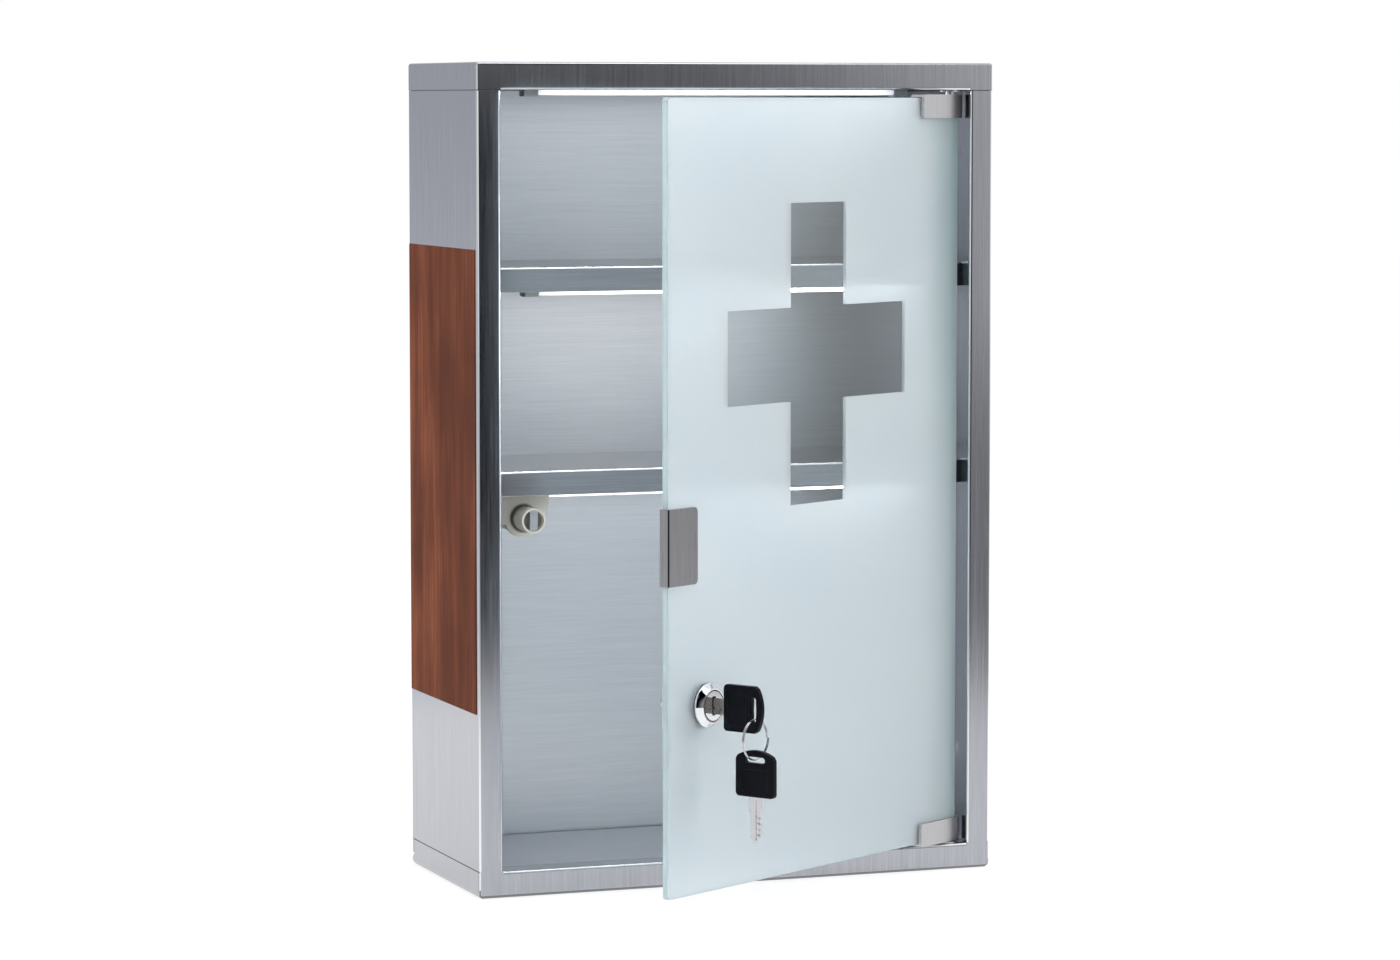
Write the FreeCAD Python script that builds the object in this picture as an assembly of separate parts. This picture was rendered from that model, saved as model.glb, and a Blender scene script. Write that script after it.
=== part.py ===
import FreeCAD, Part
import math
import os

# Wall medicine cabinet, millimetres. X right, Y towards the wall, Z up.
# The origin is the centre of the wall-screw pattern on the rear face of the back panel.

# Carcass
cabinet_width = 300.0
cabinet_height = 450.0
cabinet_depth = 125.0
sheet = 0.8
bend = 1.6
stile_width = 13.5
top_band = 15.0
bottom_band = 14.6
base_bend = 3.0
cap_corner = 1.0
stile_return = 12.0
rear_flange = 12.0
top_seam = 0.12
base_seam = 0.3
lap_tab = 9.0
stiffener_height = 13.0
base_relief = 4.0
floor_foot = 8.0

# How far a cut runs past the face it opens
over = 1.0

# Wall screws
screw_spacing_x = 220.0
screw_spacing_z = 350.0
screw_hole = 6.5

# Wood-grain panels
wood_height = 250.0
wood_thickness = 0.4
wood_front_margin = 4.0

# Shelves and floor
upper_shelf_top = 340.0
lower_shelf_top = 230.0
shelf_front_gap = 1.0
shelf_front_flange = 13.4
shelf_rear_flange = 12.0
shelf_side_flange = 10.0
floor_lap = 4.0

# Light bars under the top and the shelves
light_latch_gap = 2.6
light_plate_gap = 1.0
light_width = 9.0
light_drop = 3.4
light_wall = 1.0
light_cap = 8.0
light_lens_height = 4.2
light_lens_lap = 2.0
light_lens_round = 1.4

# Door leaf and hinges
glass_thickness = 4.0
glass_corner = 2.0
door_setback = 5.0
free_edge_gap = 7.0
rest_angle = 32.0
pivot_inset = 5.5
clip_plate = 2.0
clip_pad = 0.5
clip_web = 1.5
clip_edge_gap = 0.3
clip_height = 13.0
clip_reach = 31.0
clip_corner = 1.7
clip_nose_lap = 1.2
clip_run_gap = 0.7
pad_margin = 1.0
clamp_screw = 4.0
clamp_screw_pitch = 14.0
clamp_screw_head = 0.4
clamp_socket = 2.0
clamp_socket_depth = 1.2
pin_diameter = 5.0
pin_length = 7.3
pin_clearance = 0.05
bush_wall = 1.5
bush_flange_lap = 1.5
bush_flange = 0.8
bush_length = 6.5
bush_rim = 5.0
lower_hinge_play = 0.4
upper_hinge_play = 1.4

# Push plate
push_height = 40.0
push_width = 24.5
push_sheet = 1.0
push_bend = 1.2
push_tape = 0.2
push_tape_margin = 2.0
push_centre = 200.3
push_corner = 2.5

# Lock
lock_edge_inset = 32.5
lock_height = 116.0
bezel_diameter = 23.5
bezel_face_diameter = 18.8
bezel_height = 4.2
bezel_rim = 1.0
lock_gasket = 0.8
gasket_margin = 0.3
barrel_diameter = 18.0
barrel_length = 18.0
barrel_hole_clearance = 0.4
nut_size = 24.0
nut_thickness = 4.0
plug_head_diameter = 16.6
plug_head_thickness = 2.6
plug_diameter = 12.0
plug_clearance = 0.05
plug_recess = 0.2
plug_overhang = 0.6
cam_square = 7.0
cam_thickness = 2.0
cam_width = 13.0
cam_tail = 8.0
cam_crank_start = 14.0
cam_crank_run = 8.0
cam_offset = 9.0
cam_reach = 45.0
cam_bend = 3.0
cam_screw_diameter = 4.0
cam_screw_depth = 9.0
cam_screw_head = 9.0
cam_screw_head_height = 2.8
cam_screw_slot = 1.0
keyway_clearance = 0.25

# Keys and ring
key_thickness = 2.0
key_shoulder_width = 8.4
key_shoulder_length = 7.0
key_bit_width = 6.0
key_bit_length = 17.0
key_tongue = 8.0
key_face_gap = 0.2
key_cut_depth = 1.3
key_cut_pitch = 3.0
key_cuts = 4
head_length = 24.4
head_width = 24.5
head_thickness = 3.4
head_neck_round = 3.0
head_shoulder_round = 1.5
head_side_length = 17.0
head_chamfer_length = 4.4
head_chamfer_width = 3.2
head_panel_depth = 0.4
head_panel_length = 11.0
head_panel_width = 16.0
head_panel_inset = 3.5
head_slot_length = 13.0
head_slot_width = 3.2
head_slot_inset = 5.0
ring_radius = 10.5
ring_wire = 1.0
ring_pitch = 1.45
ring_turns = 2

# Push latch
latch_side_inset = 34.9
latch_drop = 26.9
latch_run_gap = 0.3
plunger_diameter = 13.5
plunger_clearance = 0.1
plunger_showing = 18.0
plunger_travel = 4.0
plunger_pocket = 11.4
plunger_pocket_depth = 4.0
plunger_guide = 24.5
plunger_rear_gap = 3.5
spring_outer = 8.4
spring_wire = 1.0
spring_clearance = 0.3
spring_seat = 5.0
magnet_width = 4.5
magnet_height = 10.6
magnet_depth = 9.0
barrel_wall = 1.7
barrel_end_wall = 2.5
latch_plate = 3.0
latch_plate_round = 10.0
latch_boss = 10.5
latch_right_reach = 14.7
latch_lug = 2.5
latch_lug_depth = 30.0
latch_rib = 6.0
latch_screw = 3.0
latch_screw_head = 6.0
latch_screw_head_height = 2.0
latch_screw_pitch = 18.0

# Derived places
half_width = cabinet_width / 2.0
base = -cabinet_height / 2.0
top = cabinet_height / 2.0
rear = sheet
front = rear - cabinet_depth
inner_half = half_width - sheet
inner_front = front + sheet
opening_half = half_width - stile_width
opening_low = base + bottom_band
opening_high = top - top_band
floor_top = opening_low - sheet
lip_height = 2.0 * bend
shelf_front = front + stile_return + shelf_front_gap

half_glass = glass_thickness / 2.0
clip_half = half_glass + clip_pad + clip_plate
clip_nose = clip_half - clip_nose_lap
pivot_x = opening_half - clip_run_gap - clip_nose - pivot_inset
pivot_y = front + door_setback + half_glass
pivot = FreeCAD.Vector(pivot_x, pivot_y, 0.0)
leaf_reach = pivot_x + opening_half - free_edge_gap
glass_low = opening_low + bush_flange + lower_hinge_play + clip_web + clip_edge_gap
glass_high = opening_high - bush_flange - upper_hinge_play - clip_web - clip_edge_gap
bush_diameter = pin_diameter + 2.0 * (pin_clearance + bush_wall)
rail_return = door_setback + half_glass + bush_diameter / 2.0 + bush_rim

lock_x = pivot_x - leaf_reach + lock_edge_inset
lock_z = base + lock_height
bezel_front = half_glass + lock_gasket + bezel_height
barrel_end = -half_glass - barrel_length
plug_face = bezel_front - plug_recess
plug_end = barrel_end - plug_overhang
key_origin = plug_face + key_face_gap + key_shoulder_length
slot_reach = head_length - head_slot_inset

latch_x = latch_side_inset - half_width
latch_z = base + lower_shelf_top - latch_drop
latch_roof = base + lower_shelf_top - sheet
strike_back = pivot_y + half_glass + push_tape + push_sheet
plunger_face = strike_back + latch_run_gap
latch_front = plunger_face + plunger_showing
plunger_end = latch_front + plunger_guide
barrel_floor = plunger_end + plunger_travel + plunger_rear_gap

light_half = -latch_x - light_latch_gap - light_cap
light_front = latch_front + latch_plate + light_plate_gap

X_AXIS = FreeCAD.Vector(1.0, 0.0, 0.0)
Y_AXIS = FreeCAD.Vector(0.0, 1.0, 0.0)
Z_AXIS = FreeCAD.Vector(0.0, 0.0, 1.0)


def vec(x, y, z):
    """A point or direction."""
    return FreeCAD.Vector(x, y, z)


def block(x0, x1, y0, y1, z0, z1):
    """A box between two corners."""
    return Part.makeBox(x1 - x0, y1 - y0, z1 - z0, vec(x0, y0, z0))


def rod(radius, start, end):
    """A cylinder from one point to another."""
    axis = end - start
    return Part.makeCylinder(radius, axis.Length, start, axis)


def plan(z):
    """Places 2-D points (x, y) at a height."""
    return lambda p: vec(p[0], p[1], z)


def section(x):
    """Places 2-D points (y, z) at a width."""
    return lambda p: vec(x, p[0], p[1])


def elevation(y):
    """Places 2-D points (x, z) at a depth."""
    return lambda p: vec(p[0], y, p[1])


def unit(p, q):
    """Direction from one 2-D point to another."""
    length = math.hypot(q[0] - p[0], q[1] - p[1])
    return ((q[0] - p[0]) / length, (q[1] - p[1]) / length)


def shifted(points, offset):
    """The open polyline moved sideways, to its left for a positive offset."""
    ways = [unit(p, q) for p, q in zip(points, points[1:])]
    normals = [(-d[1], d[0]) for d in ways]
    moved = []
    for i, p in enumerate(points):
        before = normals[max(i - 1, 0)]
        after = normals[min(i, len(normals) - 1)]
        scale = offset / (1.0 + before[0] * after[0] + before[1] * after[1])
        moved.append((p[0] + scale * (before[0] + after[0]), p[1] + scale * (before[1] + after[1])))
    return moved


def rounded_edges(points, radii, place):
    """Edges of an open polyline whose inner corners are rounded by the given radii."""
    edges = []
    start = points[0]
    for i in range(1, len(points) - 1):
        a = unit(points[i], points[i - 1])
        b = unit(points[i], points[i + 1])
        half = math.acos(a[0] * b[0] + a[1] * b[1]) / 2.0
        run = radii[i - 1] / math.tan(half)
        enter = (points[i][0] + a[0] * run, points[i][1] + a[1] * run)
        leave = (points[i][0] + b[0] * run, points[i][1] + b[1] * run)
        edges.append(Part.makeLine(place(start), place(enter)))
        bisect = unit((0.0, 0.0), (a[0] + b[0], a[1] + b[1]))
        depth = radii[i - 1] / math.sin(half) - radii[i - 1]
        middle = (points[i][0] + bisect[0] * depth, points[i][1] + bisect[1] * depth)
        edges.append(Part.Arc(place(enter), place(middle), place(leave)).toShape())
        start = leave
    edges.append(Part.makeLine(place(start), place(points[-1])))
    return edges


def folded(points, thickness, radius, place, sweep):
    """Folded sheet: an open centre line, its thickness, its outer bend radius and its sweep."""
    turns = []
    for p, q, r in zip(points, points[1:], points[2:]):
        turns.append((q[0] - p[0]) * (r[1] - q[1]) - (q[1] - p[1]) * (r[0] - q[0]) > 0.0)
    inner = radius - thickness
    left = rounded_edges(shifted(points, thickness / 2.0), [inner if t else radius for t in turns], place)
    right = rounded_edges(shifted(points, -thickness / 2.0), [radius if t else inner for t in turns], place)
    ends = [
        Part.makeLine(left[0].valueAt(left[0].FirstParameter), right[0].valueAt(right[0].FirstParameter)),
        Part.makeLine(left[-1].valueAt(left[-1].LastParameter), right[-1].valueAt(right[-1].LastParameter)),
    ]
    outline = Part.Wire(Part.__sortEdges__(left + right + ends))
    return Part.Face(outline).extrude(sweep)


def polygon(points, place, sweep):
    """A straight-sided prism."""
    outline = [place(p) for p in points]
    return Part.Face(Part.makePolygon(outline + outline[:1])).extrude(sweep)


def rounded_plate(points, radii, place, sweep):
    """A prism whose corners are rounded, one radius per point; a radius of zero stays sharp."""
    solid = polygon(points, place, sweep)
    corners = [place(p) for p in points]
    for corner, radius in zip(corners, radii):
        if radius > 0.0:
            edges = [e for e in solid.Edges if on_edge(e, corner, sweep)]
            solid = solid.makeFillet(radius, edges)
    return solid


def on_edge(edge, corner, sweep):
    """Whether a straight edge runs along the sweep from a corner."""
    middle = edge.valueAt((edge.FirstParameter + edge.LastParameter) / 2.0)
    return near(edge.Length, sweep.Length) and near(middle.distanceToPoint(corner + sweep * 0.5), 0.0)


def edges_where(shape, test):
    """Edges whose middle point passes a test."""
    return [e for e in shape.Edges if test(e.valueAt((e.FirstParameter + e.LastParameter) / 2.0))]


def fused(first, *others):
    """One solid from several that touch."""
    return first.fuse(list(others)).removeSplitter()


def near(a, b):
    """Whether two sizes are the same."""
    return abs(a - b) < 1e-6


def pan(z_closed, z_open, closed_radius, side_radius):
    """A closed-sided pan of the carcass: plate at z_closed, open at z_open, with rounded folds."""
    low = min(z_closed, z_open)
    high = max(z_closed, z_open)
    wall = sheet if z_closed == low else 0.0
    outer = block(-half_width, half_width, front, rear, low, high)
    inner = block(-inner_half, inner_half, inner_front, rear - sheet, low + wall, high - sheet + wall)
    inside = z_closed + math.copysign(sheet, z_open - z_closed)

    def rounded(solid, plate, wide, deep_front, deep_rear, shrink):
        def upright(p):
            return near(abs(p.x), wide) and (near(p.y, deep_front) or near(p.y, deep_rear))
        solid = solid.makeFillet(side_radius - shrink, edges_where(solid, upright))
        return solid.makeFillet(closed_radius - shrink, edges_where(solid, lambda p: near(p.z, plate)))

    outer = rounded(outer, z_closed, half_width, front, rear, 0.0)
    inner = rounded(inner, inside, inner_half, inner_front, rear - sheet, sheet)
    return outer.cut(inner)


def pivot_rod(radius, z0, z1):
    """A cylinder on the door's pivot line."""
    return rod(radius, vec(pivot_x, pivot_y, z0), vec(pivot_x, pivot_y, z1))


def rail_lip(z_edge, inward):
    """The fold along the opening's edge of a front rail and its return, with the bush's hole."""
    middle = z_edge + inward * sheet / 2.0
    points = [
        (front + sheet / 2.0, z_edge + inward * lip_height),
        (front + sheet / 2.0, middle),
        (front + rail_return, middle),
    ]
    lip = folded(points, sheet, bend, section(-opening_half), X_AXIS * (2.0 * opening_half))
    return lip.cut(pivot_rod(bush_diameter / 2.0, middle - over, middle + over))


def lip_clearance(z_edge, inward):
    """What a rail loses between the stiles so that its lip can take that place."""
    far = z_edge + inward * lip_height
    return block(-opening_half, opening_half, front - over, inner_front, min(z_edge, far), max(z_edge, far))


def build_top_cap():
    """Lid pan with the top rail, its lip and a stiffening flange inside the rear."""
    cap = pan(top, opening_high, bend, cap_corner)
    cap = cap.cut(lip_clearance(opening_high, 1.0))
    wide = inner_half - sheet
    stiffener = block(-wide, wide, -2.0 * sheet, -sheet, top - stiffener_height, top - sheet)
    return fused(cap, rail_lip(opening_high, 1.0), stiffener)


def base_flap_cut(side):
    """The slits that part a base flap from the rail and let its rear corner run out."""
    outer = side * (half_width + over)
    inner = side * (half_width - 2.0 * sheet)
    low = min(outer, inner)
    sweep = X_AXIS * abs(outer - inner)
    fold = base + base_bend
    above = opening_low + over
    slit_y = front + bend
    slit_end = slit_y + base_seam
    gap = [(slit_y, fold), (slit_end, fold), (slit_end, above), (slit_y, above)]
    slit = polygon(gap, section(low), sweep)
    relief = [
        (rear + over, fold),
        (rear, fold),
        (rear - base_relief, fold + base_relief),
        (rear - base_relief, above),
        (rear + over, above),
    ]
    return slit.fuse(polygon(relief, section(low), sweep))


def build_bottom_cap():
    """Base pan with the bottom rail, its lip, two side flaps and a rear flange for the back panel."""
    cap = pan(base, opening_low, base_bend, cap_corner)
    cap = cap.cut(lip_clearance(opening_low, -1.0))
    cap = cap.cut(base_flap_cut(-1.0)).cut(base_flap_cut(1.0))
    flange_end = half_width - rear_flange - base_seam
    for x0, x1 in ((-half_width, -flange_end), (flange_end, half_width)):
        cap = cap.cut(block(x0, x1, -sheet / 2.0, rear + over, base + base_bend, opening_low + over))
    return fused(cap, rail_lip(opening_low, -1.0))


def build_side_panel(side):
    """One folded side: rear flange, wall, stile and return, with lap tabs behind the caps' flaps."""
    wall = side * (half_width - sheet / 2.0)
    lip = side * (opening_half + sheet / 2.0)
    rear_line = rear - sheet / 2.0
    front_line = front + sheet / 2.0
    flange_end = side * (half_width - rear_flange)
    points = [
        (flange_end, rear_line),
        (wall, rear_line),
        (wall, front_line),
        (lip, front_line),
        (lip, front + stile_return),
    ]
    high = opening_high - top_seam
    panel = folded(points, sheet, bend, plan(opening_low), Z_AXIS * (high - opening_low))
    wall_x = sorted((side * (half_width + over), side * inner_half))
    panel = panel.cut(block(*wall_x, front + bend, rear - base_relief, opening_low, opening_low + base_seam))
    tab_x0 = min(side * inner_half, side * (inner_half - sheet))
    tabs = []
    for low_z, high_z in ((high - lap_tab, high + lap_tab), (opening_low - lap_tab, opening_low + lap_tab)):
        tabs.append(block(tab_x0, tab_x0 + sheet, inner_front + bend, -2.0 * sheet, low_z, high_z))
    corner = [(flange_end, rear_line), (wall, rear_line), (wall, rear - base_relief + base_seam)]
    foot_low = base + base_bend + base_relief
    foot = folded(corner, sheet, bend, plan(foot_low), Z_AXIS * (opening_low - foot_low))
    return fused(panel, foot, *tabs)


def build_back_panel():
    """Plain back sheet against the rear flanges, with the four wall-screw holes."""
    corner = base_bend + sheet
    low = base + base_bend
    high = top - bend
    wide = inner_half - sheet
    outline = [(-wide, low), (wide, low), (wide, high), (-wide, high)]
    panel = rounded_plate(outline, [corner] * 4, elevation(-sheet), Y_AXIS * sheet)
    for sx in (-0.5, 0.5):
        for sz in (-0.5, 0.5):
            centre = vec(sx * screw_spacing_x, -2.0 * sheet, sz * screw_spacing_z)
            panel = panel.cut(rod(screw_hole / 2.0, centre, centre + Y_AXIS * (4.0 * sheet)))
    return panel


def build_wood_panel(side):
    """Thin wood-grain panel on the outside of a wall."""
    x0 = min(side * half_width, side * (half_width + wood_thickness))
    y0 = front + wood_front_margin
    return block(x0, x0 + wood_thickness, y0, rear - bend, -wood_height / 2.0, wood_height / 2.0)


def build_shelf(height):
    """A fixed shelf: front flange, plate, deeper rear flange and welded side flanges."""
    shelf_top = base + height
    line = shelf_top - sheet / 2.0
    front_line = shelf_front + sheet / 2.0
    rear_line = -sheet - sheet / 2.0
    wide = inner_half - sheet
    points = [
        (front_line, shelf_top - shelf_front_flange),
        (front_line, line),
        (rear_line, line),
        (rear_line, shelf_top - shelf_rear_flange),
    ]
    shelf = folded(points, sheet, bend, section(-wide), X_AXIS * (2.0 * wide))
    flanges = []
    flange_low = shelf_top - shelf_side_flange
    for x0 in (-inner_half, inner_half - sheet):
        flanges.append(block(x0, x0 + sheet, shelf_front + bend, -sheet - bend, flange_low, shelf_top))
    return fused(shelf, *flanges)


def build_lower_shelf():
    """The lower shelf, drilled for the latch's screws."""
    shelf = build_shelf(lower_shelf_top)
    for x, y in latch_screw_places():
        centre = vec(x, y, latch_roof - over)
        shelf = shelf.cut(rod(latch_screw / 2.0, centre, centre + Z_AXIS * (sheet + 2.0 * over)))
    return shelf


def build_floor_panel():
    """Raised floor: its sides are folded down and turned in to stand on the base pan."""
    wide = inner_half - sheet - sheet / 2.0
    toe = wide - floor_foot
    line = floor_top - sheet / 2.0
    foot = base + sheet + sheet / 2.0
    points = [(-toe, foot), (-wide, foot), (-wide, line), (wide, line), (wide, foot), (toe, foot)]
    y0 = front + rail_return - floor_lap
    return folded(points, sheet, bend, elevation(y0), Y_AXIS * (-base_bend - y0))


def light_places():
    """Name, roof and front edge in front of each light bar, from the top down."""
    places = [("top", top - sheet, opening_high)]
    for name, height in (("upper", upper_shelf_top), ("lower", lower_shelf_top)):
        places.append((name, base + height - sheet, base + height - shelf_front_flange))
    return places


def build_light_channel(roof, edge):
    """A light bar's channel, open below for the lens."""
    back = light_front + light_width
    low = edge - light_drop + light_lens_height
    y0 = light_front + light_wall
    y1 = back - light_wall
    slot = block(-light_half, light_half, y0, y1, low - over, roof - light_wall)
    return block(-light_half, light_half, light_front, back, low, roof).cut(slot)


def rounded_below(bar):
    """A bar along X whose two lower long edges are rounded."""
    low = bar.BoundBox.ZMin
    middle = bar.BoundBox.Center.x
    return bar.makeFillet(light_lens_round, edges_where(bar, lambda p: near(p.z, low) and near(p.x, middle)))


def build_light_lens(edge):
    """A light bar's lens, seated in its channel."""
    y0 = light_front + light_wall
    y1 = light_front + light_width - light_wall
    low = edge - light_drop
    return rounded_below(block(-light_half, light_half, y0, y1, low, low + light_lens_height + light_lens_lap))


def build_light_caps(roof, edge):
    """The two caps that close the ends of a light bar."""
    back = light_front + light_width
    caps = []
    for x0 in (-light_half - light_cap, light_half):
        cap = block(x0, x0 + light_cap, light_front, back, edge - light_drop, roof)
        caps.append(rounded_below(cap))
    return Part.makeCompound(caps)


def leaf(s, t, z):
    """A point of the closed door: s from the pivot to the free edge, t outwards, z up."""
    return vec(pivot_x - s, pivot_y - t, z)


def leaf_plan(z):
    """Places 2-D points (s, t) of the closed door at a height."""
    return lambda p: leaf(p[0], p[1], z)


def leaf_face(t):
    """Places 2-D points (s, z) of the closed door at a distance outwards."""
    return lambda p: leaf(p[0], t, p[1])


def leaf_block(s0, s1, t0, t1, z0, z1):
    """A box in the closed door's own directions."""
    return block(pivot_x - s1, pivot_x - s0, pivot_y - t1, pivot_y - t0, z0, z1)


def opened(shape):
    """The shape turned with the door from closed to its rest angle."""
    turned = shape.copy()
    turned.rotate(pivot, Z_AXIS, rest_angle)
    return turned


def build_door_glass():
    """The glass leaf with rounded corners and the lock's hole."""
    ends = (-pivot_inset, leaf_reach)
    outline = [(ends[0], glass_low), (ends[1], glass_low), (ends[1], glass_high), (ends[0], glass_high)]
    glass = rounded_plate(outline, [glass_corner] * 4, leaf_face(half_glass), Y_AXIS * glass_thickness)
    radius = barrel_diameter / 2.0 + barrel_hole_clearance
    return glass.cut(lock_rod(radius, -half_glass - over, half_glass + over))


def clip_shape(half, z0, z1):
    """A bar with a round nose round the hinge edge of the glass."""
    nose = clip_nose_lap - pivot_inset
    centre = leaf(nose, 0.0, z0)
    bar = leaf_block(nose, clip_reach, -half, half, z0, z1)
    return fused(bar, Part.makeCylinder(half, z1 - z0, centre, Z_AXIS))


def way(upper):
    """Sign of the direction from the glass to a hinge's rail."""
    return 1.0 if upper else -1.0


def clip_span(upper, start, end):
    """Two distances towards the rail from the inner face of a clip's web, as rising heights."""
    inside = glass_high + clip_edge_gap if upper else glass_low - clip_edge_gap
    return sorted((inside + way(upper) * start, inside + way(upper) * end))


def clamp_screw_places(upper):
    """Middle points of the clamp screws on the rear plate of a clip, as (s, z)."""
    low, high = clip_span(upper, clip_web - clip_height, 0.0)
    middle = (clip_reach - pivot_inset) / 2.0 + clip_nose_lap
    half_pitch = clamp_screw_pitch / 2.0
    return [(middle - half_pitch, (low + high) / 2.0), (middle + half_pitch, (low + high) / 2.0)]


def build_clip(upper):
    """A hinge clip: two plates and a round nose round the glass, closed by a web that holds the pin."""
    low, high = clip_span(upper, clip_web - clip_height, clip_web)
    clip = clip_shape(clip_half, low, high)
    nose_end = -pivot_inset - clip_nose
    outline = [(nose_end, low), (clip_reach, low), (clip_reach, high), (nose_end, high)]
    radii = [0.0, clip_corner, clip_corner, 0.0]
    clip = clip.common(rounded_plate(outline, radii, leaf_face(clip_half), Y_AXIS * (2.0 * clip_half)))
    grip = half_glass + clip_pad
    open_low, open_high = clip_span(upper, clip_web - clip_height - over, 0.0)
    clip = clip.cut(clip_shape(grip, open_low, open_high))
    clip = clip.cut(leaf_block(clip_reach - over, clip_reach + over, -grip, grip, open_low, open_high))
    web_low, web_high = clip_span(upper, -over, clip_web + over)
    clip = clip.cut(pivot_rod(pin_diameter / 2.0, web_low, web_high))
    for s, z in clamp_screw_places(upper):
        clip = clip.cut(rod(clamp_screw / 2.0, leaf(s, -grip, z), leaf(s, -clip_half - over, z)))
    return clip


def build_clip_pads(upper):
    """The two soft pads between a clip's plates and the glass."""
    low, high = clip_span(upper, clip_web - clip_height + pad_margin, -clip_edge_gap - pad_margin)
    s0 = clip_nose_lap - pivot_inset + pad_margin
    s1 = clip_reach - pad_margin
    pads = []
    for side in (-1.0, 1.0):
        t0 = min(side * half_glass, side * (half_glass + clip_pad))
        pads.append(leaf_block(s0, s1, t0, t0 + clip_pad, low, high))
    return Part.makeCompound(pads)


def hexagon(across, centre):
    """Corners of a hexagon of a size across its flats."""
    radius = across / math.sqrt(3.0)
    angles = [math.radians(60.0 * k) for k in range(6)]
    return [(centre[0] + radius * math.cos(a), centre[1] + radius * math.sin(a)) for a in angles]


def build_clip_screws():
    """Socket set screws that clamp the rear pads against the glass."""
    screws = []
    tail = -clip_half - clamp_screw_head
    for upper in (True, False):
        for s, z in clamp_screw_places(upper):
            screw = rod(clamp_screw / 2.0, leaf(s, -half_glass - clip_pad, z), leaf(s, tail, z))
            floor = leaf_face(tail + clamp_socket_depth)
            socket = polygon(hexagon(clamp_socket, (s, z)), floor, Y_AXIS * (clamp_socket_depth + over))
            screws.append(screw.cut(socket))
    return Part.makeCompound(screws)


def build_pivot_pin(upper):
    """A hinge pin pressed into a clip's web."""
    low, high = clip_span(upper, 0.0, clip_web + pin_length)
    return pivot_rod(pin_diameter / 2.0, low, high)


def build_bush(upper):
    """A flanged bush in a rail's return, with the pin's running clearance."""
    seat = opening_high if upper else opening_low
    inside = seat - way(upper) * bush_flange
    outside = seat + way(upper) * bush_length
    outer = bush_diameter / 2.0
    bush = fused(pivot_rod(outer, seat, outside), pivot_rod(outer + bush_flange_lap, seat, inside))
    past = way(upper) * over
    return bush.cut(pivot_rod(pin_diameter / 2.0 + pin_clearance, inside - past, outside + past))


def build_push_plate():
    """A U of sheet round the free edge of the glass, the strike for the latch."""
    line = half_glass + push_tape + push_sheet / 2.0
    web = leaf_reach + push_tape + push_sheet / 2.0
    inner = web + push_sheet / 2.0 - push_width
    points = [(inner, line), (web, line), (web, -line), (inner, -line)]
    low = base + push_centre - push_height / 2.0
    plate = folded(points, push_sheet, push_bend, leaf_plan(low), Z_AXIS * push_height)
    high = low + push_height
    outline = [(inner, low), (web + push_sheet, low), (web + push_sheet, high), (inner, high)]
    reach = line + push_sheet
    radii = [push_corner, 0.0, 0.0, push_corner]
    return plate.common(rounded_plate(outline, radii, leaf_face(reach), Y_AXIS * (2.0 * reach)))


def build_push_tape():
    """Mounting tape between the push plate and both faces of the glass."""
    low = base + push_centre - push_height / 2.0 + push_tape_margin
    high = low + push_height - 2.0 * push_tape_margin
    s1 = leaf_reach - push_tape_margin
    s0 = leaf_reach + push_tape + push_sheet - push_width + push_tape_margin
    pads = []
    for side in (-1.0, 1.0):
        t0 = min(side * half_glass, side * (half_glass + push_tape))
        pads.append(leaf_block(s0, s1, t0, t0 + push_tape, low, high))
    return Part.makeCompound(pads)


def lock_point(t):
    """A point on the lock's axis, t outwards from the middle of the glass."""
    return vec(lock_x, pivot_y - t, lock_z)


def lock_rod(radius, t0, t1):
    """A cylinder on the lock's axis."""
    return rod(radius, lock_point(t0), lock_point(t1))


def lock_face(t):
    """Places 2-D points (x, z) about the lock's axis at a distance outwards."""
    return lambda p: vec(lock_x + p[0], pivot_y - t, lock_z + p[1])


def build_lock_body():
    """Conical bezel and barrel, bored for the plug."""
    rim = half_glass + lock_gasket
    body = lock_rod(bezel_diameter / 2.0, rim, rim + bezel_rim)
    cone = Part.makeCone(bezel_diameter / 2.0, bezel_face_diameter / 2.0, bezel_height - bezel_rim,
                         lock_point(rim + bezel_rim), Y_AXIS * -1.0)
    body = fused(body, cone, lock_rod(barrel_diameter / 2.0, barrel_end, rim))
    seat = plug_face - plug_head_thickness - plug_clearance
    body = body.cut(lock_rod(plug_head_diameter / 2.0 + plug_clearance, seat, bezel_front + over))
    return body.cut(lock_rod(plug_diameter / 2.0 + plug_clearance, barrel_end - over, bezel_front))


def lock_ring(radius, t0, t1):
    """A ring on the lock's barrel."""
    return lock_rod(radius, t0, t1).cut(lock_rod(barrel_diameter / 2.0, t0 - over, t1 + over))


def build_lock_nut():
    """Hexagon nut that clamps the lock to the glass."""
    t0 = -half_glass - lock_gasket - nut_thickness
    t1 = t0 + nut_thickness
    nut = polygon(hexagon(nut_size, (0.0, 0.0)), lock_face(t1), Y_AXIS * nut_thickness)
    return nut.cut(lock_rod(barrel_diameter / 2.0, t0 - over, t1 + over))


def lock_block(wide, tall, t0, t1):
    """A box centred on the lock's axis."""
    x0 = lock_x - wide / 2.0
    z0 = lock_z - tall / 2.0
    return block(x0, x0 + wide, pivot_y - t1, pivot_y - t0, z0, z0 + tall)


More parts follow.
